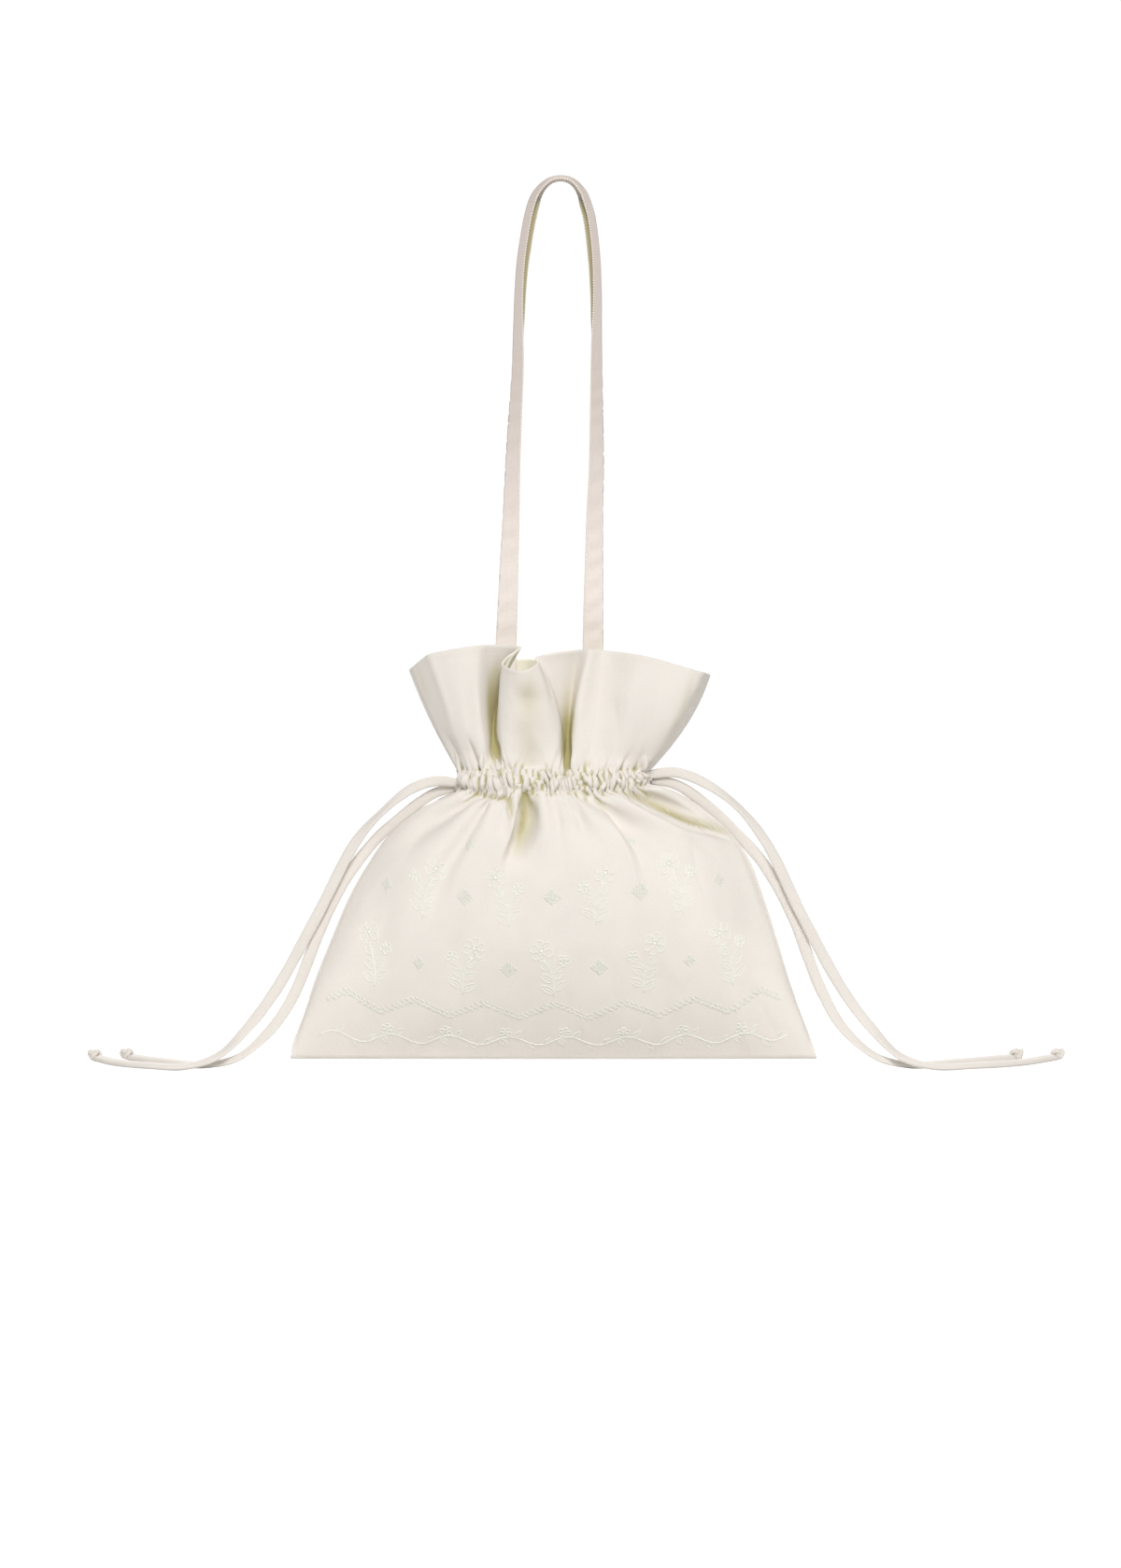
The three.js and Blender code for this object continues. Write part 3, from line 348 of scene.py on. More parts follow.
# ---------------------------------------------------------------- pressed folds and puckers
# Creases that the hand leaves in the cloth, on the settled surface, seen from the front.
# Each row: points (x, z) from the top down, depth there (a ridge is negative), and the
# half widths of its sides to the left and to the right of the way down. A last number
# rounds the profile of a soft dent.
FRONT_PRESSED = [
    ([(-29.6, -526), (-30.4, -536), (-32.0, -548), (-36.0, -561.6), (-41.6, -576), (-48, -592)], (1.2, 8.0, 11.5, 9.0, 4.8, 0.8), 4.2, 13.0, 1.5),
    ([(-35.2, -528), (-38.4, -541), (-40.8, -552), (-45.6, -568), (-51.2, -584), (-58, -602)], (-1.4, -4.6, -5.0, -3.6, -1.8, -0.3), 5.0, 3.6),
    ([(-47.2, -529), (-44.0, -537.6), (-42.4, -545.6), (-43, -552)], (2.5, 4.4, 3.4, 0.5), 3.0, 3.2),
    ([(26.4, -534.4), (40, -549.6), (54.4, -572), (64, -600), (68, -622)], (-1.6, -3.4, -3.6, -2.4, -0.4), 6.0, 4.0),
    ([(31, -532), (47, -551), (63, -575), (73, -603), (78, -625)], (1.6, 4.0, 4.4, 2.8, 0.4), 5.0, 9.0),
    ([(56, -530), (65.8, -535), (90.6, -547), (106, -554), (131, -561), (150, -568)], (0.3, 2.6, 6.6, 7.2, 4.6, 0.5), 2.2, 7.5),
    ([(64, -540.5), (88, -552), (104, -559.5), (129, -567), (146, -573.5)], (-0.5, -2.0, -2.2, -1.4, -0.2), 6.0, 2.8),
    ([(74, -524), (98, -536.5), (120, -547.5), (138, -556)], (-0.8, -3.2, -3.2, -0.8), 4.5, 4.0),
    ([(104, -562), (118, -569), (134, -581)], (0.8, 2.4, 0.4), 5.0, 2.8),
    ([(-80, -527.0), (-64, -529.6), (-46, -531.6)], (1.0, 4.2, 4.4), 2.4, 3.0),
    ([(-51.2, -568), (-56, -588), (-62.4, -612), (-68.8, -636), (-73, -655)], (0.5, 2.2, 2.4, 1.6, 0.2), 6.0, 11.0),
    ([(-43, -592), (-41.6, -612), (-38.4, -634), (-36, -652)], (0.4, 1.5, 1.5, 0.2), 5.0, 9.0),
    ([(-91, -548), (-97.6, -580), (-104, -608), (-112, -640)], (0.3, 1.2, 1.3, 0.2), 6.0, 9.0),
    ([(-106, -546), (-124, -570), (-140, -602)], (0.4, 1.0, 0.2), 5.0, 7.0),
    ([(80, -572), (92, -600), (99, -628), (103, -650)], (0.4, 1.6, 1.4, 0.2), 7.0, 10.0),
    ([(0, -536), (-1, -556), (3, -584), (6, -612)], (0.5, 1.3, 1.0, 0.2), 6.0, 6.0),
    ([(14, -532), (17, -550), (22, -572)], (0.8, 1.6, 0.2), 4.0, 6.0),
    ([(-120, -640), (-136, -690), (-146, -726)], (0.2, 1.0, 0.2), 9.0, 12.0),
    ([(32, -650), (44, -690), (48, -728)], (0.2, 1.1, 0.2), 9.0, 13.0),
    ([(-34, -670), (-38, -700), (-40, -736)], (0.2, 0.9, 0.2), 8.0, 12.0),
    ([(112, -618), (136, -660), (150, -704)], (0.2, 1.1, 0.2), 8.0, 12.0),
    ([(-160, -650), (-176, -690), (-184, -724)], (0.2, 1.0, 0.2), 7.0, 9.0),
    ([(148, -564), (157, -588), (167, -616), (176, -648)], (-0.4, -2.0, -1.6, -0.2), 8.0, 2.4),
    ([(-92, -524), (-110, -534), (-134, -552)], (0.4, 0.9, 0.2), 4.5, 3.0),
    ([(6, -528), (5, -540), (7, -556)], (0.8, 1.8, 0.2), 3.0, 5.0),
    ([(-146, -590), (-160, -640), (-174, -700)], (0.4, 3.4, 0.5), 13.0, 17.0, 2.0),
    ([(-116, -585), (-127, -635), (-138, -690)], (-0.3, -2.4, -0.3), 14.0, 12.0, 2.0),
    ([(148, -585), (164, -640), (178, -700)], (0.4, 3.4, 0.5), 17.0, 13.0, 2.0),
    ([(116, -588), (129, -640), (139, -695)], (-0.3, -2.4, -0.3), 12.0, 14.0, 2.0),
    ([(-82, -606), (-90, -655), (-95, -712)], (0.3, 2.2, 0.3), 12.0, 15.0, 2.0),
    ([(58, -636), (68, -686), (72, -732)], (0.2, 2.0, 0.3), 15.0, 12.0, 2.0),
    ([(-12, -598), (-16, -648), (-13, -708)], (-0.2, -1.8, -0.3), 15.0, 13.0, 2.0),
    ([(24, -596), (31, -646), (34, -700)], (0.2, 1.7, 0.2), 13.0, 14.0, 2.0),
]
# The same on the frill: soft dents of the tube and of the panels, crisp ridge lines.
FRONT_FRILL_PRESSED = [
    ([(-40, -453), (-28, -449), (-15, -455)], (0.6, 4.6, 0.8), 15.0, 9.0, 2.0),
    ([(-30, -466), (-29, -482), (-28, -500)], (0.4, 3.2, 4.0), 14.0, 14.0, 2.0),
    ([(-25, -471), (-29, -484), (-34, -500), (-37, -508)], (-0.4, -2.0, -2.0, -0.8), 2.4, 5.0),
    ([(-24, -471), (-18, -486), (-11, -500)], (-0.4, -1.8, -1.0), 5.0, 2.4),
    ([(-17.0, -418), (-9.0, -440), (-1.6, -470), (2.6, -497.6)], (-0.6, -1.8, -2.0, -1.2), 6.0, 1.6),
    ([(44, -440), (47, -462), (50, -484), (47, -502)], (0.2, 1.8, 1.6, 0.3), 9.0, 10.0),
    ([(25.0, -408), (17.6, -436), (13.4, -464), (9.6, -500)], (-0.6, -2.0, -2.6, -1.4), 1.8, 6.5),
    ([(33, -440), (30, -468), (24, -502)], (0.2, 1.4, 2.0), 3.5, 5.5),
    ([(-84, -424), (-79, -456), (-76, -490)], (0.2, 1.3, 0.3), 10.0, 8.0),
    ([(-72, -420), (-70, -452), (-64, -490)], (-0.3, -1.2, -1.0), 8.0, 3.0),
    ([(76, -440), (70, -470), (60, -500)], (0.2, 1.2, 0.8), 9.0, 6.0),
    ([(-97, -478), (-91, -492), (-85, -508)], (0.6, 3.0, 2.6), 2.6, 5.0),
    ([(-79, -480), (-74, -494), (-69, -508)], (0.6, 5.0, 5.0), 6.0, 2.4),
    ([(-54.5, -480), (-53.4, -495), (-50.5, -511)], (0.8, 5.5, 5.5), 5.0, 1.8),
    ([(6.5, -480), (5.2, -496), (3.4, -511)], (0.8, 5.0, 5.5), 2.0, 4.0),
    ([(-66, -490), (-63, -500), (-60, -509)], (0.4, 2.4, 2.6), 2.0, 4.0),
    ([(-50, -498), (-42, -506), (-38, -511)], (0.6, 2.8, 2.4), 4.0, 2.0),
    ([(22, -494), (20, -504), (19, -511)], (0.4, 2.0, 2.4), 2.4, 3.4),
    ([(44, -486), (39, -500), (37, -511)], (0.4, 2.2, 2.6), 3.4, 2.2),
    ([(60, -492), (54, -503), (51, -511)], (0.4, 2.4, 2.6), 2.4, 4.0),
    ([(72, -490), (66, -502), (63, -511)], (0.4, 2.2, 2.6), 3.6, 2.2),
]


def press(p, out, rows, low_z, high_z, mirror=1.0, shift=0.0, share=1.0):
    """Presses folds into a settled grid, by each point's place in the front view."""
    inside = (p[2] > low_z) & (p[2] < high_z)
    x, z = p[0][inside], p[2][inside]
    total = np.zeros_like(x)
    for points, depth, left_w, right_w, *power in rows:
        way = np.array(points, float) * [mirror, 1.0] + [shift, 0.0]
        t = np.linspace(0, 1, len(way))
        fine = np.linspace(0, 1, 40)
        wx, wz = curve_through(t, way[:, 0])(fine), curve_through(t, way[:, 1])(fine)
        wd = curve_through(t, np.array(depth, float))(fine)
        dx, dz = x[:, None] - wx, z[:, None] - wz
        near = np.argmin(dx * dx + dz * dz, 1)
        i = np.arange(len(x))
        tx, tz = np.gradient(wx)[near], np.gradient(wz)[near]
        n = np.hypot(tx, tz)
        ddx, ddz = dx[i, near], dz[i, near]
        along = (ddx * tx + ddz * tz) / n
        off = (ddx * tz - ddz * tx) / n * -mirror
        past = np.where((near == 0) | (near == 39), np.abs(along), 0.0)
        u = np.abs(off) / np.where(off < 0, left_w, right_w)
        total += wd[near] * np.exp(-u ** (power[0] if power else 1.35)) * np.exp(-(past / 4.0) ** 2)
    q = p.copy()
    q[:, inside] -= (out * share)[:, inside] * total
    return q


def loose_wrinkles(p, out, side, seed, count, low_z=-742.0, high_z=-545.0):
    """Long faint creases that fall away from the neck, a few tenths of a millimetre deep."""
    rng = np.random.RandomState(seed)
    rows = []
    for _ in range(count):
        z0 = rng.uniform(low_z + 30, high_z)
        share = (z0 - BOTTOM_Z) / (NECK_LOW_Z - BOTTOM_Z)
        x0 = rng.uniform(-0.93, 0.93) * lerp(215, 120, share)
        fall = np.array([x0 * rng.uniform(0.1, 0.5), -rng.uniform(70, 130)]) / 100
        side_way = rng.uniform(-0.25, 0.25)
        length = rng.uniform(26, 74)
        a, b = np.array([x0, z0]), np.array([x0, z0]) + fall * length + [side_way * length, 0]
        mid = 0.5 * (a + b) + rng.uniform(-4, 4, 2)
        deep = rng.uniform(0.3, 1.1) * rng.choice([-1, 1])
        rows.append(([tuple(a), tuple(mid), tuple(b)], (0.0, deep, 0.0), rng.uniform(2.8, 11), rng.uniform(2.8, 11)))
    return press(p, out, rows, low_z - 60, NECK_LOW_Z - 4)


class Puckers:
    """Crumpled little gathers of the drawn neck: tilted leaf-shaped bulges, packed tight.

    Each bulge: place along the neck and up the cloth, half width, half length, tilt, height."""

    def __init__(self, seed, length):
        rng = np.random.RandomState(seed)
        rows = []
        for v0, spread, gap, half_w, half_l, tilt, height in (
                (0.5 * (V_LOW + V_TOP), 2.2, (2.8, 6.4), (1.8, 3.5), (6.5, 10.5), 0.55, (1.8, 5.0)),
                (V_TOP - 2.0, 2.0, (8.0, 18.0), (1.4, 2.6), (3.5, 6.5), 0.8, (1.6, 4.4)),
                (V_LOW + 2.0, 2.0, (8.0, 18.0), (1.4, 2.6), (3.5, 6.5), 0.8, (1.6, 4.4)),
                (V_TOP + 6, 2.5, (10.0, 28.0), (1.5, 3.0), (6, 16), 0.45, (0.8, 3.0)),
                (V_LOW - 6, 3.0, (6.0, 18.0), (1.5, 3.2), (7, 20), 0.35, (0.8, 3.0))):
            u = -length / 2 + rng.uniform(2, 5)
            while u < length / 2 - 2:
                # the smooth middle of the pouch reaches up to the band
                flat = 0.25 if v0 < V_LOW + 4 and -26 < u < 30 else 1.0
                rows.append((u, v0 + rng.uniform(-spread, spread), rng.uniform(*half_w), rng.uniform(*half_l),
                             rng.uniform(-tilt, tilt) - 0.7 * u / length,
                             flat * (height[0] + (height[1] - height[0]) * rng.uniform() ** 1.3)))
                u += rng.uniform(*gap)
        self.rows = rows

    def __call__(self, u, v):
        total = np.zeros(np.broadcast(u, v).shape)
        for u0, v0, half_w, half_l, tilt, height in self.rows:
            du, dv = u - u0 - tilt * (v - v0), v - v0
            r = (du / half_w) ** 2 + (dv / half_l) ** 2
            total += (height * np.clip(1 - r, 0, 1) ** 0.6) ** 10
        return total ** (1 / 10)


def pucker(p, out, seed, share=1.0):
    """Adds the puckers to a settled panel, along its own outside."""
    mid = np.argmin(np.abs(V_ROWS - 0.5 * (V_LOW + V_TOP)))
    neck = np.median(p[:, mid - 5:mid + 6], axis=1)
    run = np.concatenate([[0], np.cumsum(np.linalg.norm(np.diff(neck[:, ::8], axis=1), axis=0))])
    u = np.interp(np.arange(p.shape[2]), np.arange(0, p.shape[2], 8), run - run[-1] / 2)
    near = (V_ROWS > V_LOW - 40) & (V_ROWS < V_TOP + 46)
    lift = Puckers(seed, run[-1])(u[None], V_ROWS[near][:, None])
    edge = smooth(0, 5.0, run[-1] / 2 - np.abs(u))[None]
    band = np.exp(-(np.maximum(0, np.abs(V_ROWS[near] - 0.5 * (V_LOW + V_TOP)) - 6) / 7.0) ** 2)[:, None]
    q = p.copy()
    q[:, near] += out[:, near] * (share * edge * (lift - 1.9 * band))
    return q


def soft_normals(p, side, rounds=6):
    """Outward normals of the surface without its finest folds."""
    q = p.copy()
    for _ in range(rounds):
        q[:, :, 1:-1] = 0.25 * q[:, :, :-2] + 0.5 * q[:, :, 1:-1] + 0.25 * q[:, :, 2:]
        q[:, 1:-1] = 0.25 * q[:, :-2] + 0.5 * q[:, 1:-1] + 0.25 * q[:, 2:]
    return grid_normals(q) * (1.0 if side < 0 else -1.0)



def raise_ends(p, left_rise, right_rise):
    """Lifts the lower row of the neck, and the shoulder under it, near the two side seams."""
    s = np.linspace(-1, 1, p.shape[2])[None]
    share = (smooth(V_LOW - 62, V_LOW - 10, V_ROWS) * (1 - smooth(V_LOW + 2, V_TOP + 4, V_ROWS)))[:, None]
    q = p.copy()
    q[2] += share * (left_rise * smooth(0.60, 1.0, -s) + right_rise * smooth(0.60, 1.0, s))
    return q


def iron(p):
    """Takes the even small ripples out of the cloth just above and below the gathered band."""
    soft = p.copy()
    for _ in range(30):
        soft[:, :, 1:-1] = 0.25 * soft[:, :, :-2] + 0.5 * soft[:, :, 1:-1] + 0.25 * soft[:, :, 2:]
    above = smooth(V_TOP - 1, V_TOP + 5, V_ROWS) * (1 - smooth(V_TOP + 34, V_TOP + 60, V_ROWS))
    below = 0.8 * smooth(V_LOW, V_LOW - 7, V_ROWS) * (1 - smooth(V_LOW - 24, V_LOW - 56, V_ROWS))
    keep = np.exp(-((p[0] + 53) / 7) ** 2) + np.exp(-((p[0] - 5) / 7) ** 2)
    share = np.maximum(above[:, None] * (1 - np.clip(keep, 0, 1)), below[:, None])
    return p * (1 - share) + soft * share




# ---------------------------------------------------------------- mesh helpers
MM = 0.001
ROOT = "root"


def new_object(name, verts_mm, faces, material, uv=None, fold=None, worn=None):
    mesh = bpy.data.meshes.new(name)
    verts = np.asarray(verts_mm, float) * MM
    mesh.from_pydata(verts.tolist(), [], [list(map(int, f)) for f in faces])
    mesh.polygons.foreach_set("use_smooth", np.ones(len(mesh.polygons), bool))
    if uv is not None:
        layer = mesh.uv_layers.new(name="cloth")
        index = np.zeros(len(mesh.loops), np.int32)
        mesh.loops.foreach_get("vertex_index", index)
        layer.data.foreach_set("uv", np.ascontiguousarray(np.asarray(uv, np.float32)[index]).ravel())
    for label, values in (("fold", fold), ("worn", worn)):
        if values is not None:
            mesh.attributes.new(label, "FLOAT", "POINT").data.foreach_set("value", np.asarray(values, np.float32))
    mesh.materials.append(material)
    mesh.update()
    obj = bpy.data.objects.new(name, mesh)
    bpy.context.scene.collection.objects.link(obj)
    return obj


def part_piece(obj, replaces=()):
    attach(obj, ROOT)
    if replaces:
        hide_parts(*replaces)
    return obj


def grid_faces(rows, cols, start=0, flip=False):
    r, c = np.meshgrid(np.arange(rows - 1), np.arange(cols - 1), indexing="ij")
    a = (start + r * cols + c).ravel()
    quads = np.stack([a, a + 1, a + cols + 1, a + cols], 1)
    return quads[:, ::-1] if flip else quads


def wall_faces(rows, cols, flip):
    """Faces of a closed wall: outer grid, inner grid and the four edges between them."""
    n = rows * cols
    faces = [grid_faces(rows, cols, 0), grid_faces(rows, cols, n, True)]
    c = np.arange(cols - 1)
    r = np.arange(rows - 1) * cols
    faces.append(np.stack([c + 1, c, c + n, c + 1 + n], 1))
    t = (rows - 1) * cols + c
    faces.append(np.stack([t, t + 1, t + 1 + n, t + n], 1))
    faces.append(np.stack([r, r + cols, r + cols + n, r + n], 1))
    e = r + cols - 1
    faces.append(np.stack([e + cols, e, e + n, e + cols + n], 1))
    faces = np.concatenate(faces)
    return faces[:, ::-1] if flip else faces


def tube_faces(rings, around):
    """Faces of a closed tube of rings, with a centre point at each end."""
    r, k = np.meshgrid(np.arange(rings - 1), np.arange(around), indexing="ij")
    a = (r * around + k).ravel()
    b = (r * around + (k + 1) % around).ravel()
    faces = [list(f) for f in np.stack([a, b, b + around, a + around], 1)]
    first, last = rings * around, rings * around + 1
    for k in range(around):
        j = (k + 1) % around
        faces.append([first, j, k])
        faces.append([last, (rings - 1) * around + k, (rings - 1) * around + j])
    return faces


def tube_object(name, rings, material, along=None, fold=None, worn=None):
    """rings: (n, around, 3) in mm."""
    n, around, _ = rings.shape
    verts = np.concatenate([rings.reshape(-1, 3), rings[:1].mean(1), rings[-1:].mean(1)])
    run = np.arange(n) * 1.0 if along is None else along
    uv = np.stack([np.tile(np.arange(around) / around * 0.024, n), np.repeat(run * MM, around)], 1)
    uv = np.concatenate([uv, [[0, run[0] * MM], [0, run[-1] * MM]]])
    ends = [v if v is None else np.concatenate([v.ravel(), [v[0].mean(), v[-1].mean()]]) for v in (fold, worn)]
    return new_object(name, verts, tube_faces(n, around), material, uv, ends[0], ends[1])


def route(points, count):
    """Even points, tangents and curve shares along a centripetal Catmull-Rom curve."""
    p = np.asarray(points, float)
    ext = np.concatenate([[2 * p[0] - p[1]], p, [2 * p[-1] - p[-2]]])
    dense, share = [], []
    segs = len(p) - 1
    for i in range(segs):
        p0, p1, p2, p3 = ext[i:i + 4]
        d0, d1, d2 = (max(np.linalg.norm(b - a) ** 0.5, 1e-4) for a, b in ((p0, p1), (p1, p2), (p2, p3)))
        t1 = ((p1 - p0) / d0 - (p2 - p0) / (d0 + d1) + (p2 - p1) / d1) * d1
        t2 = ((p2 - p1) / d1 - (p3 - p1) / (d1 + d2) + (p3 - p2) / d2) * d1
        for t in np.arange(80) / 80:
            dense.append(p1 + t1 * t + (-3 * p1 + 3 * p2 - 2 * t1 - t2) * t ** 2 + (2 * p1 - 2 * p2 + t1 + t2) * t ** 3)
            share.append((i + t) / segs)
    dense.append(p[-1])
    share.append(1.0)
    dense = np.array(dense)
    run = np.concatenate([[0], np.cumsum(np.linalg.norm(np.diff(dense, axis=0), axis=1))])
    at = np.linspace(0, run[-1], count)
    pts = np.stack([np.interp(at, run, dense[:, k]) for k in range(3)], 1)
    tan = np.gradient(pts, axis=0)
    tan /= np.linalg.norm(tan, axis=1, keepdims=True)
    return pts, tan, np.interp(at, run, share), at


def unit(v):
    return v / np.linalg.norm(v, axis=-1, keepdims=True)


# ---------------------------------------------------------------- materials
def cloth_material(name, colour, weave, weave_depth, rough=0.9, sheen=0.25, mottle=0.02, deep=None, worn=None):
    """Plain cotton: slightly uneven colour, a woven bump along the cloth's own axes.

    deep is the painted shade colour where the piece's fold values reach 1, and worn the colour where its worn values
    reach 1: painted light where it is paler than the cloth, painted shade where it is darker."""
    mat = bpy.data.materials.new(name)
    mat.use_nodes = True
    nodes, links = mat.node_tree.nodes, mat.node_tree.links
    bsdf = nodes["Principled BSDF"]
    bsdf.inputs["Roughness"].default_value = rough
    bsdf.inputs["Sheen Weight"].default_value = sheen
    bsdf.inputs["Sheen Roughness"].default_value = 0.5
    bsdf.inputs["Specular IOR Level"].default_value = 0.25
    coord = nodes.new("ShaderNodeTexCoord")
    warp = nodes.new("ShaderNodeTexWave")
    warp.wave_type, warp.bands_direction = "BANDS", "X"
    weft = nodes.new("ShaderNodeTexWave")
    weft.wave_type, weft.bands_direction = "BANDS", "Y"
    for node in (warp, weft):
        node.inputs["Scale"].default_value = weave
        node.inputs["Distortion"].default_value = 1.2
        node.inputs["Detail"].default_value = 1.0
        links.new(coord.outputs["UV"], node.inputs["Vector"])
    slub = nodes.new("ShaderNodeTexNoise")
    slub.inputs["Scale"].default_value = 420.0
    slub.inputs["Detail"].default_value = 3.0
    links.new(coord.outputs["UV"], slub.inputs["Vector"])
    add = nodes.new("ShaderNodeMath")
    add.operation = "ADD"
    links.new(warp.outputs["Fac"], add.inputs[0])
    links.new(weft.outputs["Fac"], add.inputs[1])
    more = nodes.new("ShaderNodeMath")
    more.operation = "ADD"
    links.new(add.outputs[0], more.inputs[0])
    links.new(slub.outputs["Fac"], more.inputs[1])
    bump = nodes.new("ShaderNodeBump")
    bump.inputs["Strength"].default_value = weave_depth
    bump.inputs["Distance"].default_value = 0.0002
    links.new(more.outputs[0], bump.inputs["Height"])
    links.new(bump.outputs["Normal"], bsdf.inputs["Normal"])
    patch = nodes.new("ShaderNodeTexNoise")
    patch.inputs["Scale"].default_value = 26.0
    patch.inputs["Detail"].default_value = 4.0
    links.new(coord.outputs["UV"], patch.inputs["Vector"])
    ramp = nodes.new("ShaderNodeValToRGB")
    lo = [c * (1 - mottle) for c in colour]
    hi = [min(1.0, c * (1 + mottle)) for c in colour]
    ramp.color_ramp.elements[0].position, ramp.color_ramp.elements[1].position = 0.3, 0.7
    ramp.color_ramp.elements[0].color = (*lo, 1)
    ramp.color_ramp.elements[1].color = (*hi, 1)
    links.new(patch.outputs["Fac"], ramp.inputs["Fac"])
    # single threads are a little lighter or darker than their neighbours
    slubs = nodes.new("ShaderNodeMapRange")
    slubs.inputs["To Min"].default_value, slubs.inputs["To Max"].default_value = 0.965, 1.03
    links.new(slub.outputs["Fac"], slubs.inputs["Value"])
    tone = nodes.new("ShaderNodeVectorMath")
    tone.operation = "SCALE"
    links.new(ramp.outputs["Color"], tone.inputs[0])
    links.new(slubs.outputs["Result"], tone.inputs["Scale"])
    last = tone.outputs["Vector"]
    for label, other in (("worn", worn), ("fold", deep)):
        if other is None:
            continue
        share = nodes.new("ShaderNodeAttribute")
        share.attribute_name = label
        mix = nodes.new("ShaderNodeMix")
        mix.data_type = "RGBA"
        colour_in = [i for i in mix.inputs if i.name == "A" and i.type == "RGBA"][0]
        other_in = [i for i in mix.inputs if i.name == "B" and i.type == "RGBA"][0]
        other_in.default_value = (*other, 1)
        links.new(share.outputs["Fac"], mix.inputs["Factor"])
        links.new(last, colour_in)
        last = [o for o in mix.outputs if o.type == "RGBA"][0]
    links.new(last, bsdf.inputs["Base Color"])
    return mat


# deep: olive painted shade for creases, hollows and the inside face; worn: paler colour painted as light on the inside
# of the mouth
COTTON = cloth_material("cotton", (0.81, 0.765, 0.71), 330.0, 0.35, sheen=0.08, deep=(0.47, 0.425, 0.205), worn=(0.94, 0.91, 0.80))
LINING = cloth_material("casing_cotton", (0.80, 0.75, 0.68), 330.0, 0.3, sheen=0.08)
# deep: painted shade on the inner face of the folded strap; worn: darker colour painted as shade towards the strap's
# top
TAPE = cloth_material("strap_cotton", (0.86, 0.785, 0.735), 330.0, 0.45, sheen=0.08, deep=(0.40, 0.35, 0.19), worn=(0.62, 0.55, 0.51))
CORD = cloth_material("cord_cotton", (0.745, 0.705, 0.655), 420.0, 0.15, sheen=0.08)
WHITEWORK = cloth_material("whitework", (0.85, 0.855, 0.785), 900.0, 0.2, rough=0.7, sheen=0.2, mottle=0.01)
# painted shade: colour of the small squares laid where the drawn-thread holes show shade
HOLE_SHADE = cloth_material("drawn_hole_shade", (0.80, 0.775, 0.70), 900.0, 0.2, sheen=0.0)
THREAD = cloth_material("thread", (0.88, 0.83, 0.72), 900.0, 0.2, rough=0.7, sheen=0.2)

# ---------------------------------------------------------------- cloth panels
CLOTH_THICK = 0.9


# Painted shade in hollows seen from the front: line (x, z) from the top down, half widths
# to its left and right, greatest height out of the middle plane that still lies in the
# hollow, strength of the painted shade at each point.
FRONT_PAINTED_SHADE = [
    ([(-58, -412), (-58, -430), (-56, -456), (-54, -484), (-53, -508)], 12.0, 12.0, 24.0, (0.10, 0.60, 0.95, 1.0, 0.9)),
    ([(10, -404), (9, -424), (8, -448), (7, -472), (5, -506)], 10.0, 10.0, 31.0, (0.03, 0.06, 0.34, 1.0, 1.0)),
    ([(-26, -424), (-27, -446), (-27, -470), (-25, -500)], 20.0, 20.0, 99.0, (0.03, 0.42, 0.24, 0.30)),
    ([(-54.5, -484), (-53.4, -496), (-50.5, -512)], 4.0, 2.6, 99.0, (0.2, 0.95, 1.0)),
    ([(6.5, -484), (5.2, -496), (3.4, -512)], 2.6, 4.0, 99.0, (0.2, 0.95, 1.0)),
    ([(-31, -528), (-32.4, -540), (-33.6, -553), (-36, -566), (-41, -582)], 4.5, 16.0, 99.0, (0.6, 0.95, 1.0, 0.7, 0.0)),
    ([(56, -527.5), (65.8, -532), (90.6, -544), (106, -551), (131, -558), (150, -565)], 3.4, 9.0, 99.0, (0.2, 0.7, 1.0, 1.0, 0.7, 0.0)),
    ([(-47, -530), (-43.5, -537), (-41.5, -545), (-42, -551)], 2.4, 3.4, 99.0, (0.6, 0.9, 0.7, 0.0)),
    ([(-66, -529.4), (-56, -530.6), (-46, -532)], 2.6, 2.6, 99.0, (0.0, 0.7, 0.9)),
    ([(113, -424), (107, -444), (99, -464), (91, -482)], 6.0, 6.0, 99.0, (0.05, 0.26, 0.20, 0.0)),
    ([(-122, -420), (-117, -434), (-110, -456)], 6.0, 6.0, 99.0, (0.10, 0.18, 0.0)),
]


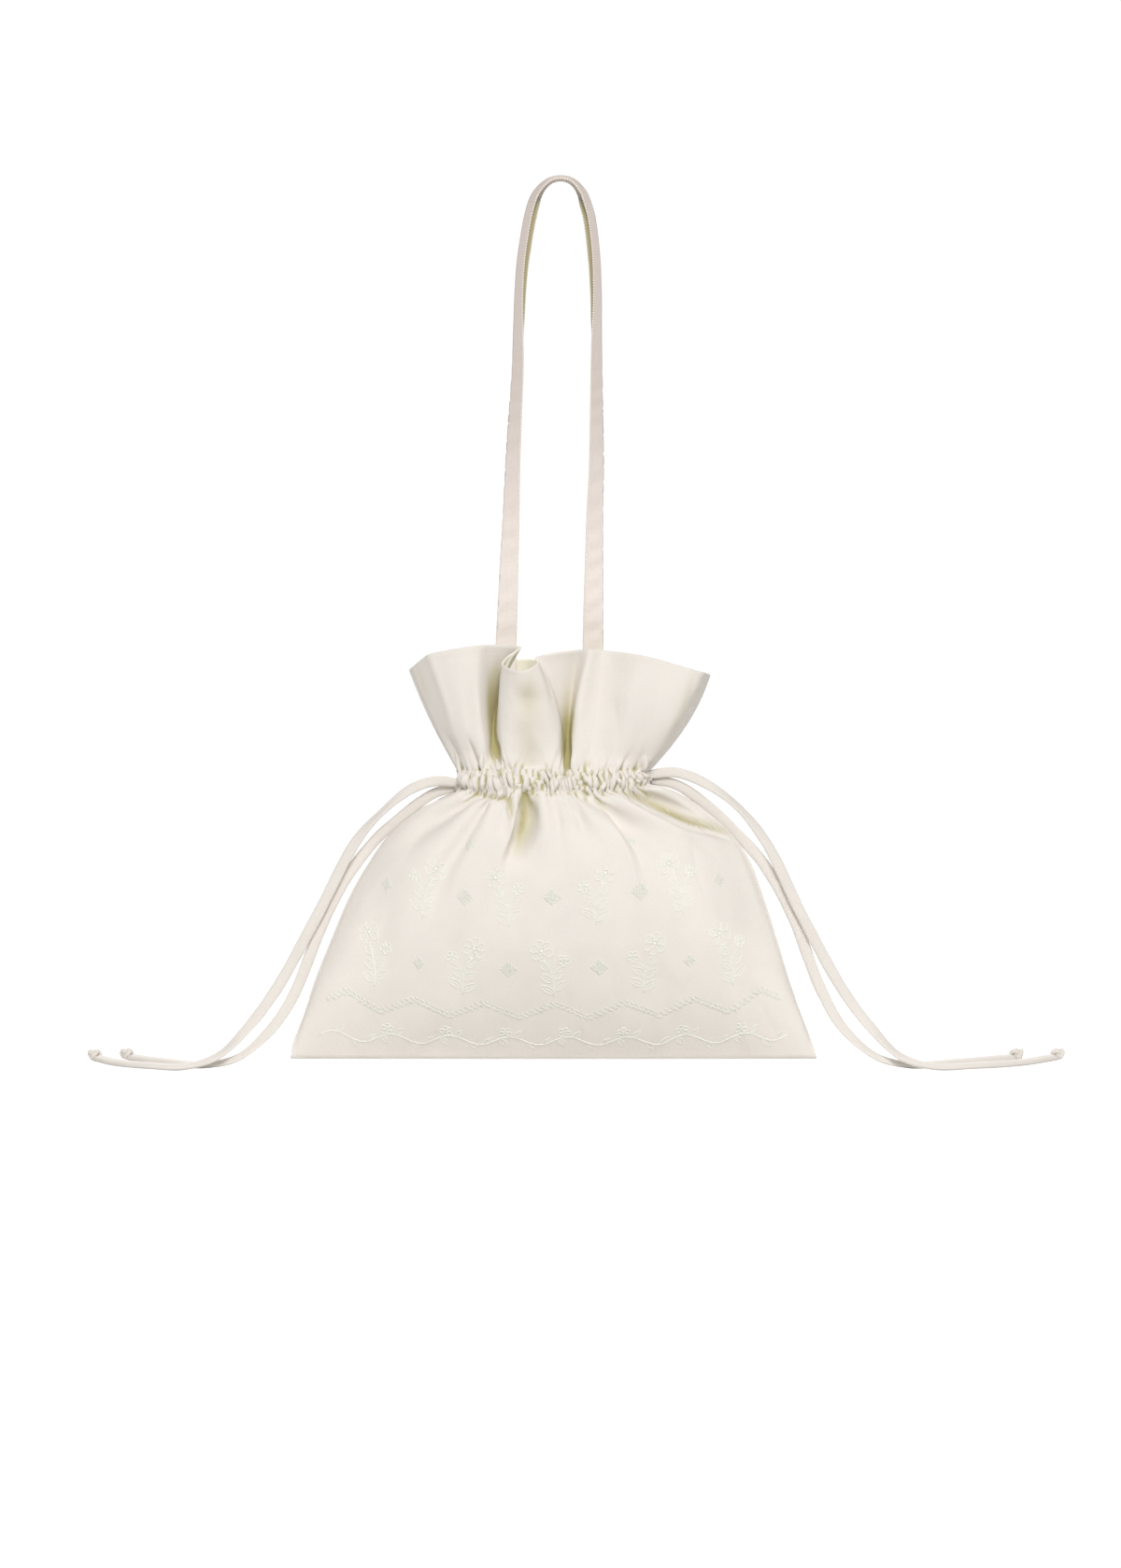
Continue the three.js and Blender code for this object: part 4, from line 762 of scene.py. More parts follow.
def painted_shade_share(p, side):
    """Share of painted shade at each place, 0 to 1: more where it lies deep between higher cloth on both sides, in the
    front's listed hollows and in the fine creases between the puckers.
    """
    height = p[1] * side
    reach = 24
    left, right = height.copy(), height.copy()
    for k in range(1, reach + 1):
        left[:, k:] = np.maximum(left[:, k:], height[:, :-k])
        right[:, :-k] = np.maximum(right[:, :-k], height[:, k:])
    deep = np.minimum(left, right) - height
    for _ in range(3):
        deep[:, 1:-1] = 0.25 * deep[:, :-2] + 0.5 * deep[:, 1:-1] + 0.25 * deep[:, 2:]
        deep[1:-1] = 0.25 * deep[:-2] + 0.5 * deep[1:-1] + 0.25 * deep[2:]
    # painted shade in the deep valleys of the body
    body = smooth(V_LOW + 4, V_LOW - 6, V_ROWS)[:, None]
    share = 0.16 * smooth(3.0, 14.0, deep) * body
    if side < 0:
        for points, left_w, right_w, ceiling, strength in FRONT_PAINTED_SHADE:
            way = np.array(points, float)
            t = np.linspace(0, 1, len(way))
            fine = np.linspace(0, 1, 60)
            wx, wz = curve_through(t, way[:, 0])(fine), curve_through(t, way[:, 1])(fine)
            ws = curve_through(t, np.array(strength, float))(fine)
            inside = (p[2] > wz.min() - 4) & (p[2] < wz.max() + 4)
            dx, dz = p[0][inside][:, None] - wx, p[2][inside][:, None] - wz
            at = np.argmin(dx * dx + dz * dz, 1)
            k = np.arange(len(at))
            off = np.hypot(dx[k, at], dz[k, at]) / np.where(dx[k, at] < 0, left_w, right_w)
            low = 1 - smooth(ceiling - 9, ceiling, height[inside])
            near = 1 - smooth(0.3, 1.0, off) if ceiling < 90 else np.clip(1 - off, 0, 1) ** 1.4
            share[inside] = np.maximum(share[inside], near * low * ws[at])
    else:
        # painted shade in the deep valleys of the back frill
        frill = smooth(V_TOP, V_TOP + 10, V_ROWS) * (1 - smooth(V_RIM - 64, V_RIM - 14, V_ROWS))
        share = np.maximum(share, 0.6 * smooth(5.0, 19.0, deep) * frill[:, None])
    # painted shade in the fine creases between the puckers
    near = p.copy()
    near[:, :, 2:-2] = 0.5 * (p[:, :, :-4] + p[:, :, 4:])
    rise = ((near - p) * grid_normals(p)).sum(0) * (1.0 if side < 0 else -1.0)
    band = smooth(V_LOW - 26, V_LOW - 4, V_ROWS) * (1 - smooth(V_TOP + 2, V_TOP + 16, V_ROWS))
    fine = 0.95 * smooth(0.16, 0.80, rise) * band[:, None]
    return np.maximum(share, fine)


# the drawstrings inside the band, in mm
bpy.context.view_layer.update()
CHANNEL_TREES = []
for node in ("drawstring_left_channel", "drawstring_right_channel"):
    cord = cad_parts[node]
    cord.data.calc_loop_triangles()
    CHANNEL_TREES.append(BVHTree.FromPolygons([(cord.matrix_world @ q.co) / MM for q in cord.data.vertices],
                                              [tuple(t.vertices) for t in cord.data.loop_triangles], all_triangles=True))


def off_cords(p, way, gap, limit):
    """How far the points must go along way (3, rows, columns) to lie gap mm off the drawstrings."""
    need = np.zeros(p.shape[1:])
    for r in range(p.shape[1]):
        for c in range(p.shape[2]):
            at, along = Vector(p[:, r, c]), Vector(way[:, r, c])
            if along.length < 0.3:
                continue
            along.normalize()
            for tree in CHANNEL_TREES:
                far = tree.ray_cast(at + along * 9.0, -along, 12.5)[3]
                if far is not None:
                    need[r, c] = max(need[r, c], 9.0 - far + gap)
    need = np.clip(need, 0, limit)
    wide = need.copy()
    wide[:, 1:] = np.maximum(wide[:, 1:], need[:, :-1])
    wide[:, :-1] = np.maximum(wide[:, :-1], need[:, 1:])
    tall = wide.copy()
    tall[1:] = np.maximum(tall[1:], 0.8 * wide[:-1])
    tall[:-1] = np.maximum(tall[:-1], 0.8 * wide[1:])
    soft = tall.copy()
    soft[:, 1:-1] = 0.25 * tall[:, :-2] + 0.5 * tall[:, 1:-1] + 0.25 * tall[:, 2:]
    return np.maximum(need, soft)


panels = {}
# inside_painted_shade: painted shade over the whole inside face of each panel
for name, creases, folds, full, side, fullness, seed, inside_painted_shade in (
        ("front_panel", FRONT_CREASES, FRONT_FOLDS, FRONT_FULL, -1, 1.0, 11, 0.05),
        ("back_panel", BACK_CREASES, BACK_FOLDS, BACK_FULL, 1, BACK_FULLNESS, 23, 0.16)):
    p = drape(creases, folds, full, side, fullness, seed, 36)
    p = iron(p)
    rows, cols = p.shape[1:]
    s, v = np.meshgrid(np.linspace(-1, 1, cols), V_ROWS, indexing="xy")
    soft = soft_normals(p, side) * smooth(0, 0.07, 1 - np.abs(s)) * smooth(0, 8, v)
    if side < 0:
        p = press(p, soft, FRONT_PRESSED, BOTTOM_Z, NECK_LOW_Z + 3)
        p = press(p, soft, FRONT_FRILL_PRESSED, NECK_TOP_Z - 4, -390)
    else:
        p = press(p, soft, FRONT_PRESSED, BOTTOM_Z, NECK_LOW_Z + 3, mirror=-1.0, shift=8.0, share=0.7)
    p = loose_wrinkles(p, soft, side, seed + 1, 60)
    p = pucker(p, soft, seed + 2)
    p = raise_ends(p, 3.0, 6.5)
    band = np.where((V_ROWS > V_LOW - 9) & (V_ROWS < V_TOP + 9))[0]
    way = soft[:, band] / (np.sqrt((soft[:, band] ** 2).sum(0)) + 1e-6) * (np.abs(s[band]) < 0.975)
    p[:, band] += way * off_cords(p[:, band], way, CLOTH_THICK / 2 + 0.4, 4.5)
    p[1] = np.where(v > 1, side * np.maximum(side * p[1], 0.75), p[1])
    # the side seam is closed, apart from the slit that the drawstrings leave by
    slit = smooth(V_LOW - 8, V_LOW - 2, v) * (1 - smooth(V_TOP + 2, V_TOP + 8, v))
    sewn = side * (0.47 + (side * p[1] - 0.47) * smooth(0.0, 0.03, 1 - np.abs(s)))
    p[1] = np.where(v > 1, lerp(sewn, p[1], slit), p[1])
    p[1] = np.where(side * p[1] > 50, side * (50 + 0.7 * (side * p[1] - 50)), p[1])
    out = grid_normals(p) * (1.0 if side < 0 else -1.0)
    half = np.full((rows, 1), CLOTH_THICK / 2)
    half[-3:] = CLOTH_THICK * 0.75
    verts = np.concatenate([(p + out * half).reshape(3, -1).T, (p - out * half).reshape(3, -1).T])
    uv = np.stack([s.ravel() * 0.225, v.ravel() * MM], 1)
    faces = wall_faces(rows, cols, side > 0)
    # painted shade: darker colour in the creases and hollows outside, and over the inside face
    fold = np.concatenate([painted_shade_share(p, side).ravel(), np.full(rows * cols, inside_painted_shade)])
    # painted light: the inside of the mouth is given a paler colour, standing in for light that comes through the cloth
    # there
    mouth_painted_light = np.repeat(smooth(V_RIM - 70, V_RIM - 20, V_ROWS), cols)
    obj = new_object(name + "_cloth", verts, faces, COTTON, np.concatenate([uv, uv]), fold, np.concatenate([0 * mouth_painted_light, mouth_painted_light]))
    part_piece(obj, [name])
    panels[name] = {"p": p, "out": out, "obj": obj}

def grains(name, centres, along, wide, up, half, material):
    """Many small rounded stitches or beads: half sizes along, across and up, in mm."""
    rings_t = [-0.92, -0.5, 0.0, 0.5, 0.92]
    ring_r = [0.35, 0.85, 1.0, 0.85, 0.35]
    around = 6
    n = len(centres)
    local = [(t, rr * math.cos(2 * math.pi * k / around), rr * math.sin(2 * math.pi * k / around))
             for t, rr in zip(rings_t, ring_r) for k in range(around)]
    local = np.array(local + [(-1.0, 0, 0), (1.0, 0, 0)])
    half = np.broadcast_to(np.asarray(half, float), (n, 3))
    verts = (centres[:, None] + along[:, None] * (local[None, :, :1] * half[:, None, :1])
             + wide[:, None] * (local[None, :, 1:2] * half[:, None, 1:2])
             + up[:, None] * (local[None, :, 2:] * half[:, None, 2:]))
    base = []
    for r in range(4):
        for k in range(around):
            j = (k + 1) % around
            base.append([r * around + k, r * around + j, (r + 1) * around + j, (r + 1) * around + k])
    tris = []
    for k in range(around):
        j = (k + 1) % around
        tris.append([30, j, k])
        tris.append([31, 24 + k, 24 + j])
    faces = []
    quads, tris = np.array(base), np.array(tris)
    per = len(local)
    for i in range(n):
        faces.extend((quads + i * per).tolist())
        faces.extend((tris + i * per).tolist())
    return new_object(name, verts.reshape(-1, 3), faces, material)


# ---------------------------------------------------------------- casing strips and neck stitches
in_band = np.where((V_ROWS > V_LOW - 3.5) & (V_ROWS < V_TOP + 3.5))[0]
for name, node in (("front_panel", "front_casing"), ("back_panel", "back_casing")):
    base = panels[name]["p"][:, in_band, 14:-14:2].copy()
    for _ in range(7):
        base[:, :, 1:-1] = 0.25 * base[:, :, :-2] + 0.5 * base[:, :, 1:-1] + 0.25 * base[:, :, 2:]
    way = grid_normals(base) * (1.0 if name == "front_panel" else -1.0)
    for _ in range(14):
        way[:, :, 1:-1] = 0.25 * way[:, :, :-2] + 0.5 * way[:, :, 1:-1] + 0.25 * way[:, :, 2:]
    way /= np.sqrt((way * way).sum(0)) + 1e-9
    deep = 4.3 + off_cords(base - way * 4.3, -way, 0.6, 3.5)
    strip = np.concatenate([(base - way * (deep + d)).reshape(3, -1).T for d in (0.0, 0.8)])
    obj = new_object(node + "_strip", strip, wall_faces(base.shape[1], base.shape[2], name == "back_panel"), LINING)
    part_piece(obj, [node])
    # one row of stitches under the band
    row = int(np.argmin(np.abs(V_ROWS - (V_LOW - 2.0))))
    p, out = panels[name]["p"], panels[name]["out"]
    picks = np.arange(8, COLUMNS - 8, 4)
    along = (p[:, row, picks + 2] - p[:, row, picks - 2]).T
    along /= np.linalg.norm(along, axis=1)[:, None]
    up = out[:, row, picks].T
    spots = p[:, row, picks].T + up * (CLOTH_THICK / 2 + 0.05)
    seam = grains(node + "_stitches", spots, along, np.cross(up, along), up, (0.85, 0.28, 0.26), THREAD)
    part_piece(seam)

# ---------------------------------------------------------------- raised threadwork
# Plain whitework of its own pattern: outlined sprigs in a half-drop repeat, small
# diamonds and a chevron of drawn-thread squares, and a running vine above the hem.
# Places are on the flat cloth: a across from the middle, v up from the bottom seam.
front = panels["front_panel"]
smooth_p = front["p"].copy()
row_width = np.linalg.norm(np.diff(smooth_p[:, :, ::8], axis=2), axis=0).sum(1)


def on_cloth(a, v, h):
    """Points h mm above the front of the cloth at flat places (a, v)."""
    a, v, h = np.broadcast_arrays(np.asarray(a, float), np.asarray(v, float), np.asarray(h, float))
    r = np.clip(np.interp(v, V_ROWS, np.arange(len(V_ROWS))), 0, len(V_ROWS) - 1.001)
    c = np.clip((a / np.interp(v, V_ROWS, row_width) + 0.5) * (COLUMNS - 1), 0, COLUMNS - 1.001)
    r0, c0 = r.astype(int), c.astype(int)
    fr, fc = r - r0, c - c0
    total = 0
    for dr, dc, wt in ((0, 0, (1 - fr) * (1 - fc)), (0, 1, (1 - fr) * fc), (1, 0, fr * (1 - fc)), (1, 1, fr * fc)):
        p = front["p"][:, r0 + dr, c0 + dc] + front["out"][:, r0 + dr, c0 + dc] * (CLOTH_THICK / 2 + h)
        total = total + wt * p
    return np.moveaxis(total, 0, -1)


class Threadwork:
    """Collects small raised patches of thread into one mesh."""

    def __init__(self):
        self.verts, self.faces, self.count = [], [], 0

    def pad(self, a, v, h, sunk=-0.3):
        """A closed pad over a grid of flat places, sunk a little into the cloth."""
        rows, cols = a.shape
        self.verts += [on_cloth(a, v, h).reshape(-1, 3), on_cloth(a, v, sunk).reshape(-1, 3)]
        self.faces.append(wall_faces(rows, cols, False) + self.count)
        self.count += 2 * rows * cols

    def line(self, a, v, width, height, taper=False):
        """A couched thread along a line of flat places."""
        a, v = np.asarray(a, float), np.asarray(v, float)
        ta, tv = np.gradient(a), np.gradient(v)
        n = np.hypot(ta, tv) + 1e-9
        w = np.linspace(-1, 1, 4)[None]
        thin = np.sin(np.pi * np.linspace(0.12, 0.88, len(a)))[:, None] ** 0.6 if taper else np.ones((len(a), 1))
        self.pad(a[:, None] + (tv / n)[:, None] * w * thin * width / 2, v[:, None] - (ta / n)[:, None] * w * thin * width / 2,
                 height * thin * (1 - 0.85 * w ** 2))

    def leaf(self, a, v, angle, length, width, vein=True):
        """An outlined leaf: two curved threads from its foot to its tip, and a vein."""
        t = np.linspace(0, 1, 9)
        belly = width / 2 * np.sin(np.pi * t ** 0.8) ** 0.9
        ca, sa = math.cos(angle), math.sin(angle)
        for sign in (-1, 1):
            x, y = t * length, sign * belly
            self.line(a + ca * x - sa * y, v + sa * x + ca * y, 0.85, 0.62, True)
        if vein:
            x = t * length * 0.8
            self.line(a + ca * x, v + sa * x, 0.6, 0.45, True)

    def blossom(self, a, v, radius, petals, spin):
        """Outlined round petals about a knotted eye."""
        t = np.linspace(0, 2 * np.pi, 15)
        for k in range(petals):
            way = spin + 2 * np.pi * k / petals
            ca, sa = math.cos(way), math.sin(way)
            x = radius * (0.62 - 0.38 * np.cos(t))
            y = radius * 0.34 * np.sin(t) * (1 - 0.25 * np.cos(t))
            self.line(a + ca * x - sa * y, v + sa * x + ca * y, 0.85, 0.62)
        self.dot(a, v, radius * 0.17, 0.8)

    def dot(self, a, v, radius, height):
        g = np.linspace(-1, 1, 4)
        x, y = np.meshgrid(g, g)
        k = np.maximum(np.abs(x), np.abs(y)) / np.maximum(np.hypot(x, y), 1e-6)
        x, y = x * k, y * k
        self.pad(a + x * radius, v + y * radius, height * (1 - 0.85 * (x * x + y * y)))

    def box(self, a, v, wide, tall, height):
        x, y = np.meshgrid([-wide / 2, wide / 2], [-tall / 2, tall / 2])
        self.pad(a + x, v + y, height + 0 * x)

    def finish(self, name, material):
        return new_object(name, np.concatenate(self.verts), np.concatenate(self.faces), material)


work, holes = Threadwork(), Threadwork()
SQUARE = 2.1


def squares(a, v, cells):
    """Drawn-thread squares: a little square of painted shade where each hole is, with a bar of thread above and beside
    it.
    """
    for i, j in cells:
        ca, cv = a + i * SQUARE, v + j * SQUARE
        holes.box(ca, cv, 1.0, 1.0, 0.05)
        work.box(ca, cv + SQUARE / 2, SQUARE, 0.8, 0.22)
        work.box(ca + SQUARE / 2, cv, 0.8, SQUARE, 0.22)


def diamond(a, v, n):
    squares(a, v, [(i, j) for i in range(-n, n + 1) for j in range(-n, n + 1) if abs(i) + abs(j) <= n])


def sprig(a, v, lean):
    """A bowed stem with leaves, a bud and an open blossom, leaning left or right."""
    t = np.linspace(0, 1, 24)
    sa = a + lean * (13 * t ** 2 - 5 * t)
    sv = v + 36 * t
    work.line(sa, sv, 1.0, 0.65)
    for share, sign, length in ((0.10, 1, 14), (0.18, -1, 15), (0.40, 1, 14), (0.50, -1, 12), (0.74, 1, 10)):
        k = int(share * 23)
        work.leaf(sa[k], sv[k], math.pi / 2 - sign * lean * 0.95, length, 6.0)
    work.blossom(sa[-1] + lean * 1.8, sv[-1] + 8.0, 10.0, 6, 0.3 * lean)
    bud = int(0.62 * 23)
    ba, bv = sa[bud] - lean * 11.0, sv[bud] + 9.0
    work.line(np.linspace(sa[bud], ba, 8), np.linspace(sv[bud], bv, 8), 0.75, 0.5)
    work.blossom(ba, bv + 3.2, 5.4, 5, 0.9)


for k, a in enumerate((-152, -76, 0, 76, 152)):
    sprig(a, 70, 1 if k % 2 else -1)
for k, a in enumerate((-112, -37, 37, 112)):
    sprig(a, 136, -1 if k % 2 else 1)
for a, v, n in ((-114, 96, 2), (-38, 96, 3), (38, 96, 3), (114, 96, 2), (-150, 156, 2), (-75, 160, 3), (0, 162, 3),
                (75, 160, 3), (148, 156, 2), (-70, 206, 2), (70, 206, 2)):
    diamond(a, v, n)
# chevron of squares across the lower cloth
chevron = []
for i in range(-92, 93):
    rise = abs((i % 28) - 14)
    chevron += [(i, rise // 2)] + ([(i, rise // 2 + 2)] if i % 2 else [])
squares(0, 46, chevron)
# running vine above the hem
va = np.linspace(-200, 200, 300)
work.line(va, 22 + 4.5 * np.sin(va / 50 * 2 * np.pi), 1.0, 0.6)
for k in range(-15, 16):
    a0 = k * 12.5 + 4.0
    v0 = 22 + 4.5 * math.sin(a0 / 50 * 2 * math.pi)
    turn = 1 if k % 2 else -1
    work.leaf(a0, v0, turn * 0.85, 9.5, 4.2)
    if k % 4 == 0:
        work.blossom(a0 + 5.0, v0 - turn * 7.0, 5.4, 5, 0.4 * k)
stitchwork = part_piece(work.finish("front_threadwork", WHITEWORK))
# the hole squares carry painted shade
hole_shade_work = part_piece(holes.finish("front_drawn_square_shade", HOLE_SHADE))
print("threadwork triangles", [sum(len(p.vertices) - 2 for p in o.data.polygons) for o in (stitchwork, hole_shade_work)])

# ---------------------------------------------------------------- strap
STRAP_THICK = 2.0
STRAP_WIDTH = 20.4
# The strap hangs folded lengthwise: place of its fold line (x, y, z), and the headings of
# the near half and of the far half from there, in degrees off the inside of the loop.
STRAP_LEFT = [
    (-56.6, 23.2, -438.4, 0, 8), (-55.6, 23.2, -398.4, 0, 8), (-54.0, 21.0, -368.0, 2, 10), (-51.8, 18.8, -328.0, 3, 12),
    (-49.6, 16.0, -288.0, 4, 14), (-47.4, 13.0, -248.0, 5, 15), (-44.8, 10.5, -208.0, 6, 15), (-42.8, 8.8, -180.8, 7, 15),
    (-41.5, 7.5, -160.0, 8, 15), (-40.7, 6.2, -138.4, 10, 14), (-40.1, 5.5, -120.0, 12, 12), (-39.6, 4.6, -104.0, 15, 11),
    (-38.8, 3.8, -88.0, 18, 10), (-37.4, 3.0, -72.0, 20, 9), (-35.2, 2.3, -56.0, 20, 8), (-33.2, 1.8, -44.0, 21, 7),
    (-30.8, 1.5, -32.0, 23, 9), (-27.6, 1.2, -20.8, 28, 20), (-23.6, 0.8, -12.4, 38, 42), (-15.6, 0.4, -4.0, 52, 64),
    (-8.0, 0.1, 0.2, 60, 74)]
STRAP_RIGHT = [
    (36.9, 23.2, -438.4, 0, 8), (36.8, 23.2, -398.4, 0, 8), (36.7, 21.0, -368.0, 2, 10), (36.6, 18.8, -328.0, 3, 12),
    (36.6, 16.0, -288.0, 4, 14), (37.1, 13.0, -248.0, 5, 15), (36.6, 10.5, -208.0, 6, 15), (36.2, 8.8, -180.8, 7, 15),
    (35.8, 7.5, -160.0, 8, 15), (35.4, 6.2, -138.4, 10, 14), (35.3, 5.5, -120.0, 12, 12), (35.4, 4.6, -104.0, 15, 11),
    (35.0, 3.8, -88.0, 18, 10), (34.2, 3.0, -72.0, 20, 9), (32.8, 2.3, -56.0, 20, 8), (31.4, 1.8, -44.0, 21, 7),
    (29.4, 1.5, -32.0, 23, 9), (26.0, 1.2, -20.8, 28, 20), (22.4, 0.8, -12.4, 38, 42), (15.2, 0.4, -4.0, 52, 64),
    (8.0, 0.1, 0.2, 60, 74)]
STRAP_STATIONS = np.array(STRAP_LEFT + [(0.0, 0.0, 1.4, 62, 78)] + STRAP_RIGHT[::-1])
pts, tan, share, run = route(STRAP_STATIONS[:, :3], 440)
shares = np.linspace(0, 1, len(STRAP_STATIONS))
near_turn = np.radians(curve_through(shares, STRAP_STATIONS[:, 3])(share))[:, None]
far_turn = np.radians(curve_through(shares, STRAP_STATIONS[:, 4])(share))[:, None]
BACKWARD = np.array([0.0, 1.0, 0.0])
inward = unit(np.cross(BACKWARD, tan))
inward *= np.sign((inward * (np.array([-4.0, 0, -220.0]) - pts)).sum(1, keepdims=True))
depthward = unit(BACKWARD - tan * (tan @ BACKWARD)[:, None])
near_way = inward * np.cos(near_turn) - depthward * np.sin(near_turn)
far_way = inward * np.cos(far_turn) + depthward * np.sin(far_turn)
# Across the band: from the near edge (-1) round the soft fold (0) to the far edge (1).
across = np.linspace(-1, 1, 25)
ROUND = 1.6
near_wide = np.interp(pts[:, 2:], (-438, -398, -368, -328, -288, -248, -208, -181, -160, -138, -120, -104, -88, -60),
                      (19.4, 19.2, 18.4, 17.0, 15.8, 14.2, 12.9, 12.0, 11.4, 10.4, 9.5, 9.1, 8.8, 8.4))
lines = np.zeros((len(pts), len(across), 3))
for j, k in enumerate(across):
    d = abs(k) * (near_wide if k < 0 else STRAP_WIDTH - near_wide)
    this, other = (near_way, far_way) if k < 0 else (far_way, near_way)
    lines[:, j] = pts + this * (np.sqrt(d * d + ROUND * ROUND) - ROUND) + (this + other) * (0.35 * np.exp(-d / 1.5))
# soft slanting waves along the lower runs, where the band hangs open
waves = np.random.RandomState(41)
lean = np.interp(run, np.arange(0, run[-1] + 40, 40), waves.uniform(-1, 1, int(run[-1] // 40) + 2))
swing = np.interp(run, np.arange(0, run[-1] + 30, 30), np.cumsum(waves.uniform(6.0, 13.0, int(run[-1] // 30) + 2)))
loose = smooth(-110, -220, pts[:, 2]) * smooth(-430, -395, pts[:, 2])
wave = 0.45 * loose[:, None] * np.sin(swing[:, None] + (2.6 + 0.8 * lean[:, None]) * across[None])
lines[:, :, 1] += wave * 4 * np.abs(across) * (1 - np.abs(across))
side_way = np.gradient(lines, axis=1)
face = unit(np.cross(side_way, tan[:, None]))
outward = (face * -inward[:, None]).sum(2, keepdims=True)
face *= np.where(np.median(outward[:, len(across) // 2 - 3]) < 0, -1.0, 1.0)


def strap_line(k, lift):
    """The line k from -1 to 1 across the band, lifted off its middle."""
    place = (k + 1) / 2 * (len(across) - 1)
    j = min(int(place), len(across) - 2)
    f = place - j
    return (lines[:, j] * (1 - f) + lines[:, j + 1] * f) + unit(face[:, j] * (1 - f) + face[:, j + 1] * f) * lift


# Turned edges stand a little proud, with a shallow groove under each row of stitches.
bead = 1.0 - 0.22 * np.exp(-((np.abs(across) - 0.80) / 0.07) ** 2) - 0.75 * np.clip((np.abs(across) - 0.93) / 0.07, 0, 1) ** 2
wall = bead[None, :, None] * STRAP_THICK / 2
rings = np.concatenate([lines + face * wall, (lines - face * wall)[:, ::-1]], 1)
# painted shade: the inner face of the strap is darkened where the band is folded shut, and the strap is darkened
# towards its top; the paler base colour that shows low down is painted light against the shade there
closed = np.clip((100 - np.degrees(far_turn + near_turn)) / 60, 0, 1) * smooth(-4, -20, pts[:, 2:]) * smooth(-200, -160, pts[:, 2:])
upper_painted_shade = smooth(-380, -150, pts[:, 2:])
ones = np.ones((1, len(across)))
fold = np.concatenate([0 * closed * ones, (closed * ones) * 0.9], 1)
worn = np.concatenate([upper_painted_shade * ones, upper_painted_shade * ones], 1)
strap = part_piece(tube_object("strap_band", rings, TAPE, run, fold, worn), ["strap"])


# Edge stitching of the strap: one small thread loop every 2.3 mm over both edges.
STITCH = 2.32
at = np.arange(40.0, run[-1] - 40.0, STITCH)
index = np.interp(at, run, np.arange(len(run)))
low = index.astype(int)
frac = (index - low)[:, None]
centres, along, wide, up = [], [], [], []
for k in (-0.965, 0.965):
    c = strap_line(k, 0.0)
    mid = c[low] * (1 - frac) + c[np.minimum(low + 1, len(c) - 1)] * frac
    centres.append(mid)
    along.append(tan[low])
    wide.append((near_way if k < 0 else far_way)[low])
    up.append(face[low, 1 if k < 0 else -2])
loops = grains("strap_edge_stitches", np.concatenate(centres), np.concatenate(along), np.concatenate(wide),
               np.concatenate(up), (0.95, 0.85, 1.15), THREAD)
part_piece(loops)

# ---------------------------------------------------------------- drawstring tails
CORD_WIDTH, CORD_THICK = 9.6, 3.4
TAILS = {
    "drawstring_left_tail_front": [
        (-85.2, -1.8, -518.6, 0), (-107.2, -1.6, -516.8, 6), (-128.0, -1.4, -523.6, 28), (-153.6, -1.0, -544.0, 57),
        (-174.8, -0.8, -568.0, 26), (-208.4, -0.8, -632.0, 0), (-244.0, -0.8, -696.0, 5), (-268.0, -4.6, -728.0, 30),
        (-291.2, -14.0, -750.4, 60), (-318.0, -16.0, -759.4, 76), (-352.0, -8.0, -759.4, 76), (-384.0, 22.0, -759.4, 76),
        (-404.5, 54.0, -758.6, 76)],
    "drawstring_left_tail_back": [
        (-85.6, 1.8, -521.0, 0), (-106.4, 4.4, -526.4, 0), (-120.0, 6.2, -534.4, 0), (-140.0, 8.0, -550.4, 0),
        (-158.0, 7.8, -566.4, 0), (-184.0, 5.6, -600.0, 0), (-204.4, 4.6, -640.0, 0), (-230.8, 3.6, -704.0, 5),
        (-251.2, 1.0, -732.8, 30), (-276.8, -4.0, -753.6, 62), (-303.0, -1.0, -759.4, 76), (-340.0, 26.0, -759.4, 76),
        (-376.5, 64.0, -758.6, 76)],
    "drawstring_right_tail_front": [
        (73.2, -1.8, -511.6, 0), (97.6, -1.6, -509.2, 6), (120.4, -1.4, -516.8, 26), (148.8, -1.0, -536.0, 54),
        (175.2, -0.8, -568.0, 26), (206.8, -0.8, -632.0, 0), (242.0, -0.8, -696.0, 5), (266.0, -4.6, -728.0, 30),
        (289.6, -14.0, -751.2, 60), (316.0, -16.0, -759.4, 76), (353.0, -8.0, -759.4, 76), (398.0, 22.0, -759.4, 76),
        (432.5, 62.0, -758.4, 76)],
    "drawstring_right_tail_back": [
        (73.2, 1.8, -515.0, 0), (95.2, 2.2, -518.4, 0), (106.4, 3.4, -523.6, 0), (125.6, 6.4, -537.6, 0),
        (149.6, 7.0, -560.0, 0), (174.4, 5.6, -588.0, 0), (198.8, 4.6, -632.0, 0), (223.6, 3.6, -696.0, 5),
        (242.0, 1.0, -728.0, 30), (270.4, -4.0, -752.4, 62), (297.0, -1.0, -759.4, 76), (346.0, 28.0, -759.4, 76),
        (396.0, 64.0, -758.6, 76)],
}


def turned(v, axis, angle):
    c, s = np.cos(angle)[:, None], np.sin(angle)[:, None]
    return v * c + np.cross(axis, v) * s + axis * (axis * v).sum(1, keepdims=True) * (1 - c)


# An overhand knot: the cord's own loop, as three lobes drawn tight.
def knot_rings(end, heading, scale, around=12, count=150):
    t = np.linspace(0.15, 2 * math.pi + 0.15, count)
    up = np.array([0.0, 0.0, 1.0])
    sideways = np.cross(up, heading)
    a = np.sin(t) + 2 * np.sin(2 * t)
    b = np.cos(t) - 2 * np.cos(2 * t)
    c = -np.sin(3 * t)
    mid = end + heading * 5.6 + up * 2.6
    path = mid + scale * (np.outer(a, heading) * 1.2 + np.outer(b, sideways) * 1.1 + np.outer(c, up) * 1.85)
    return path


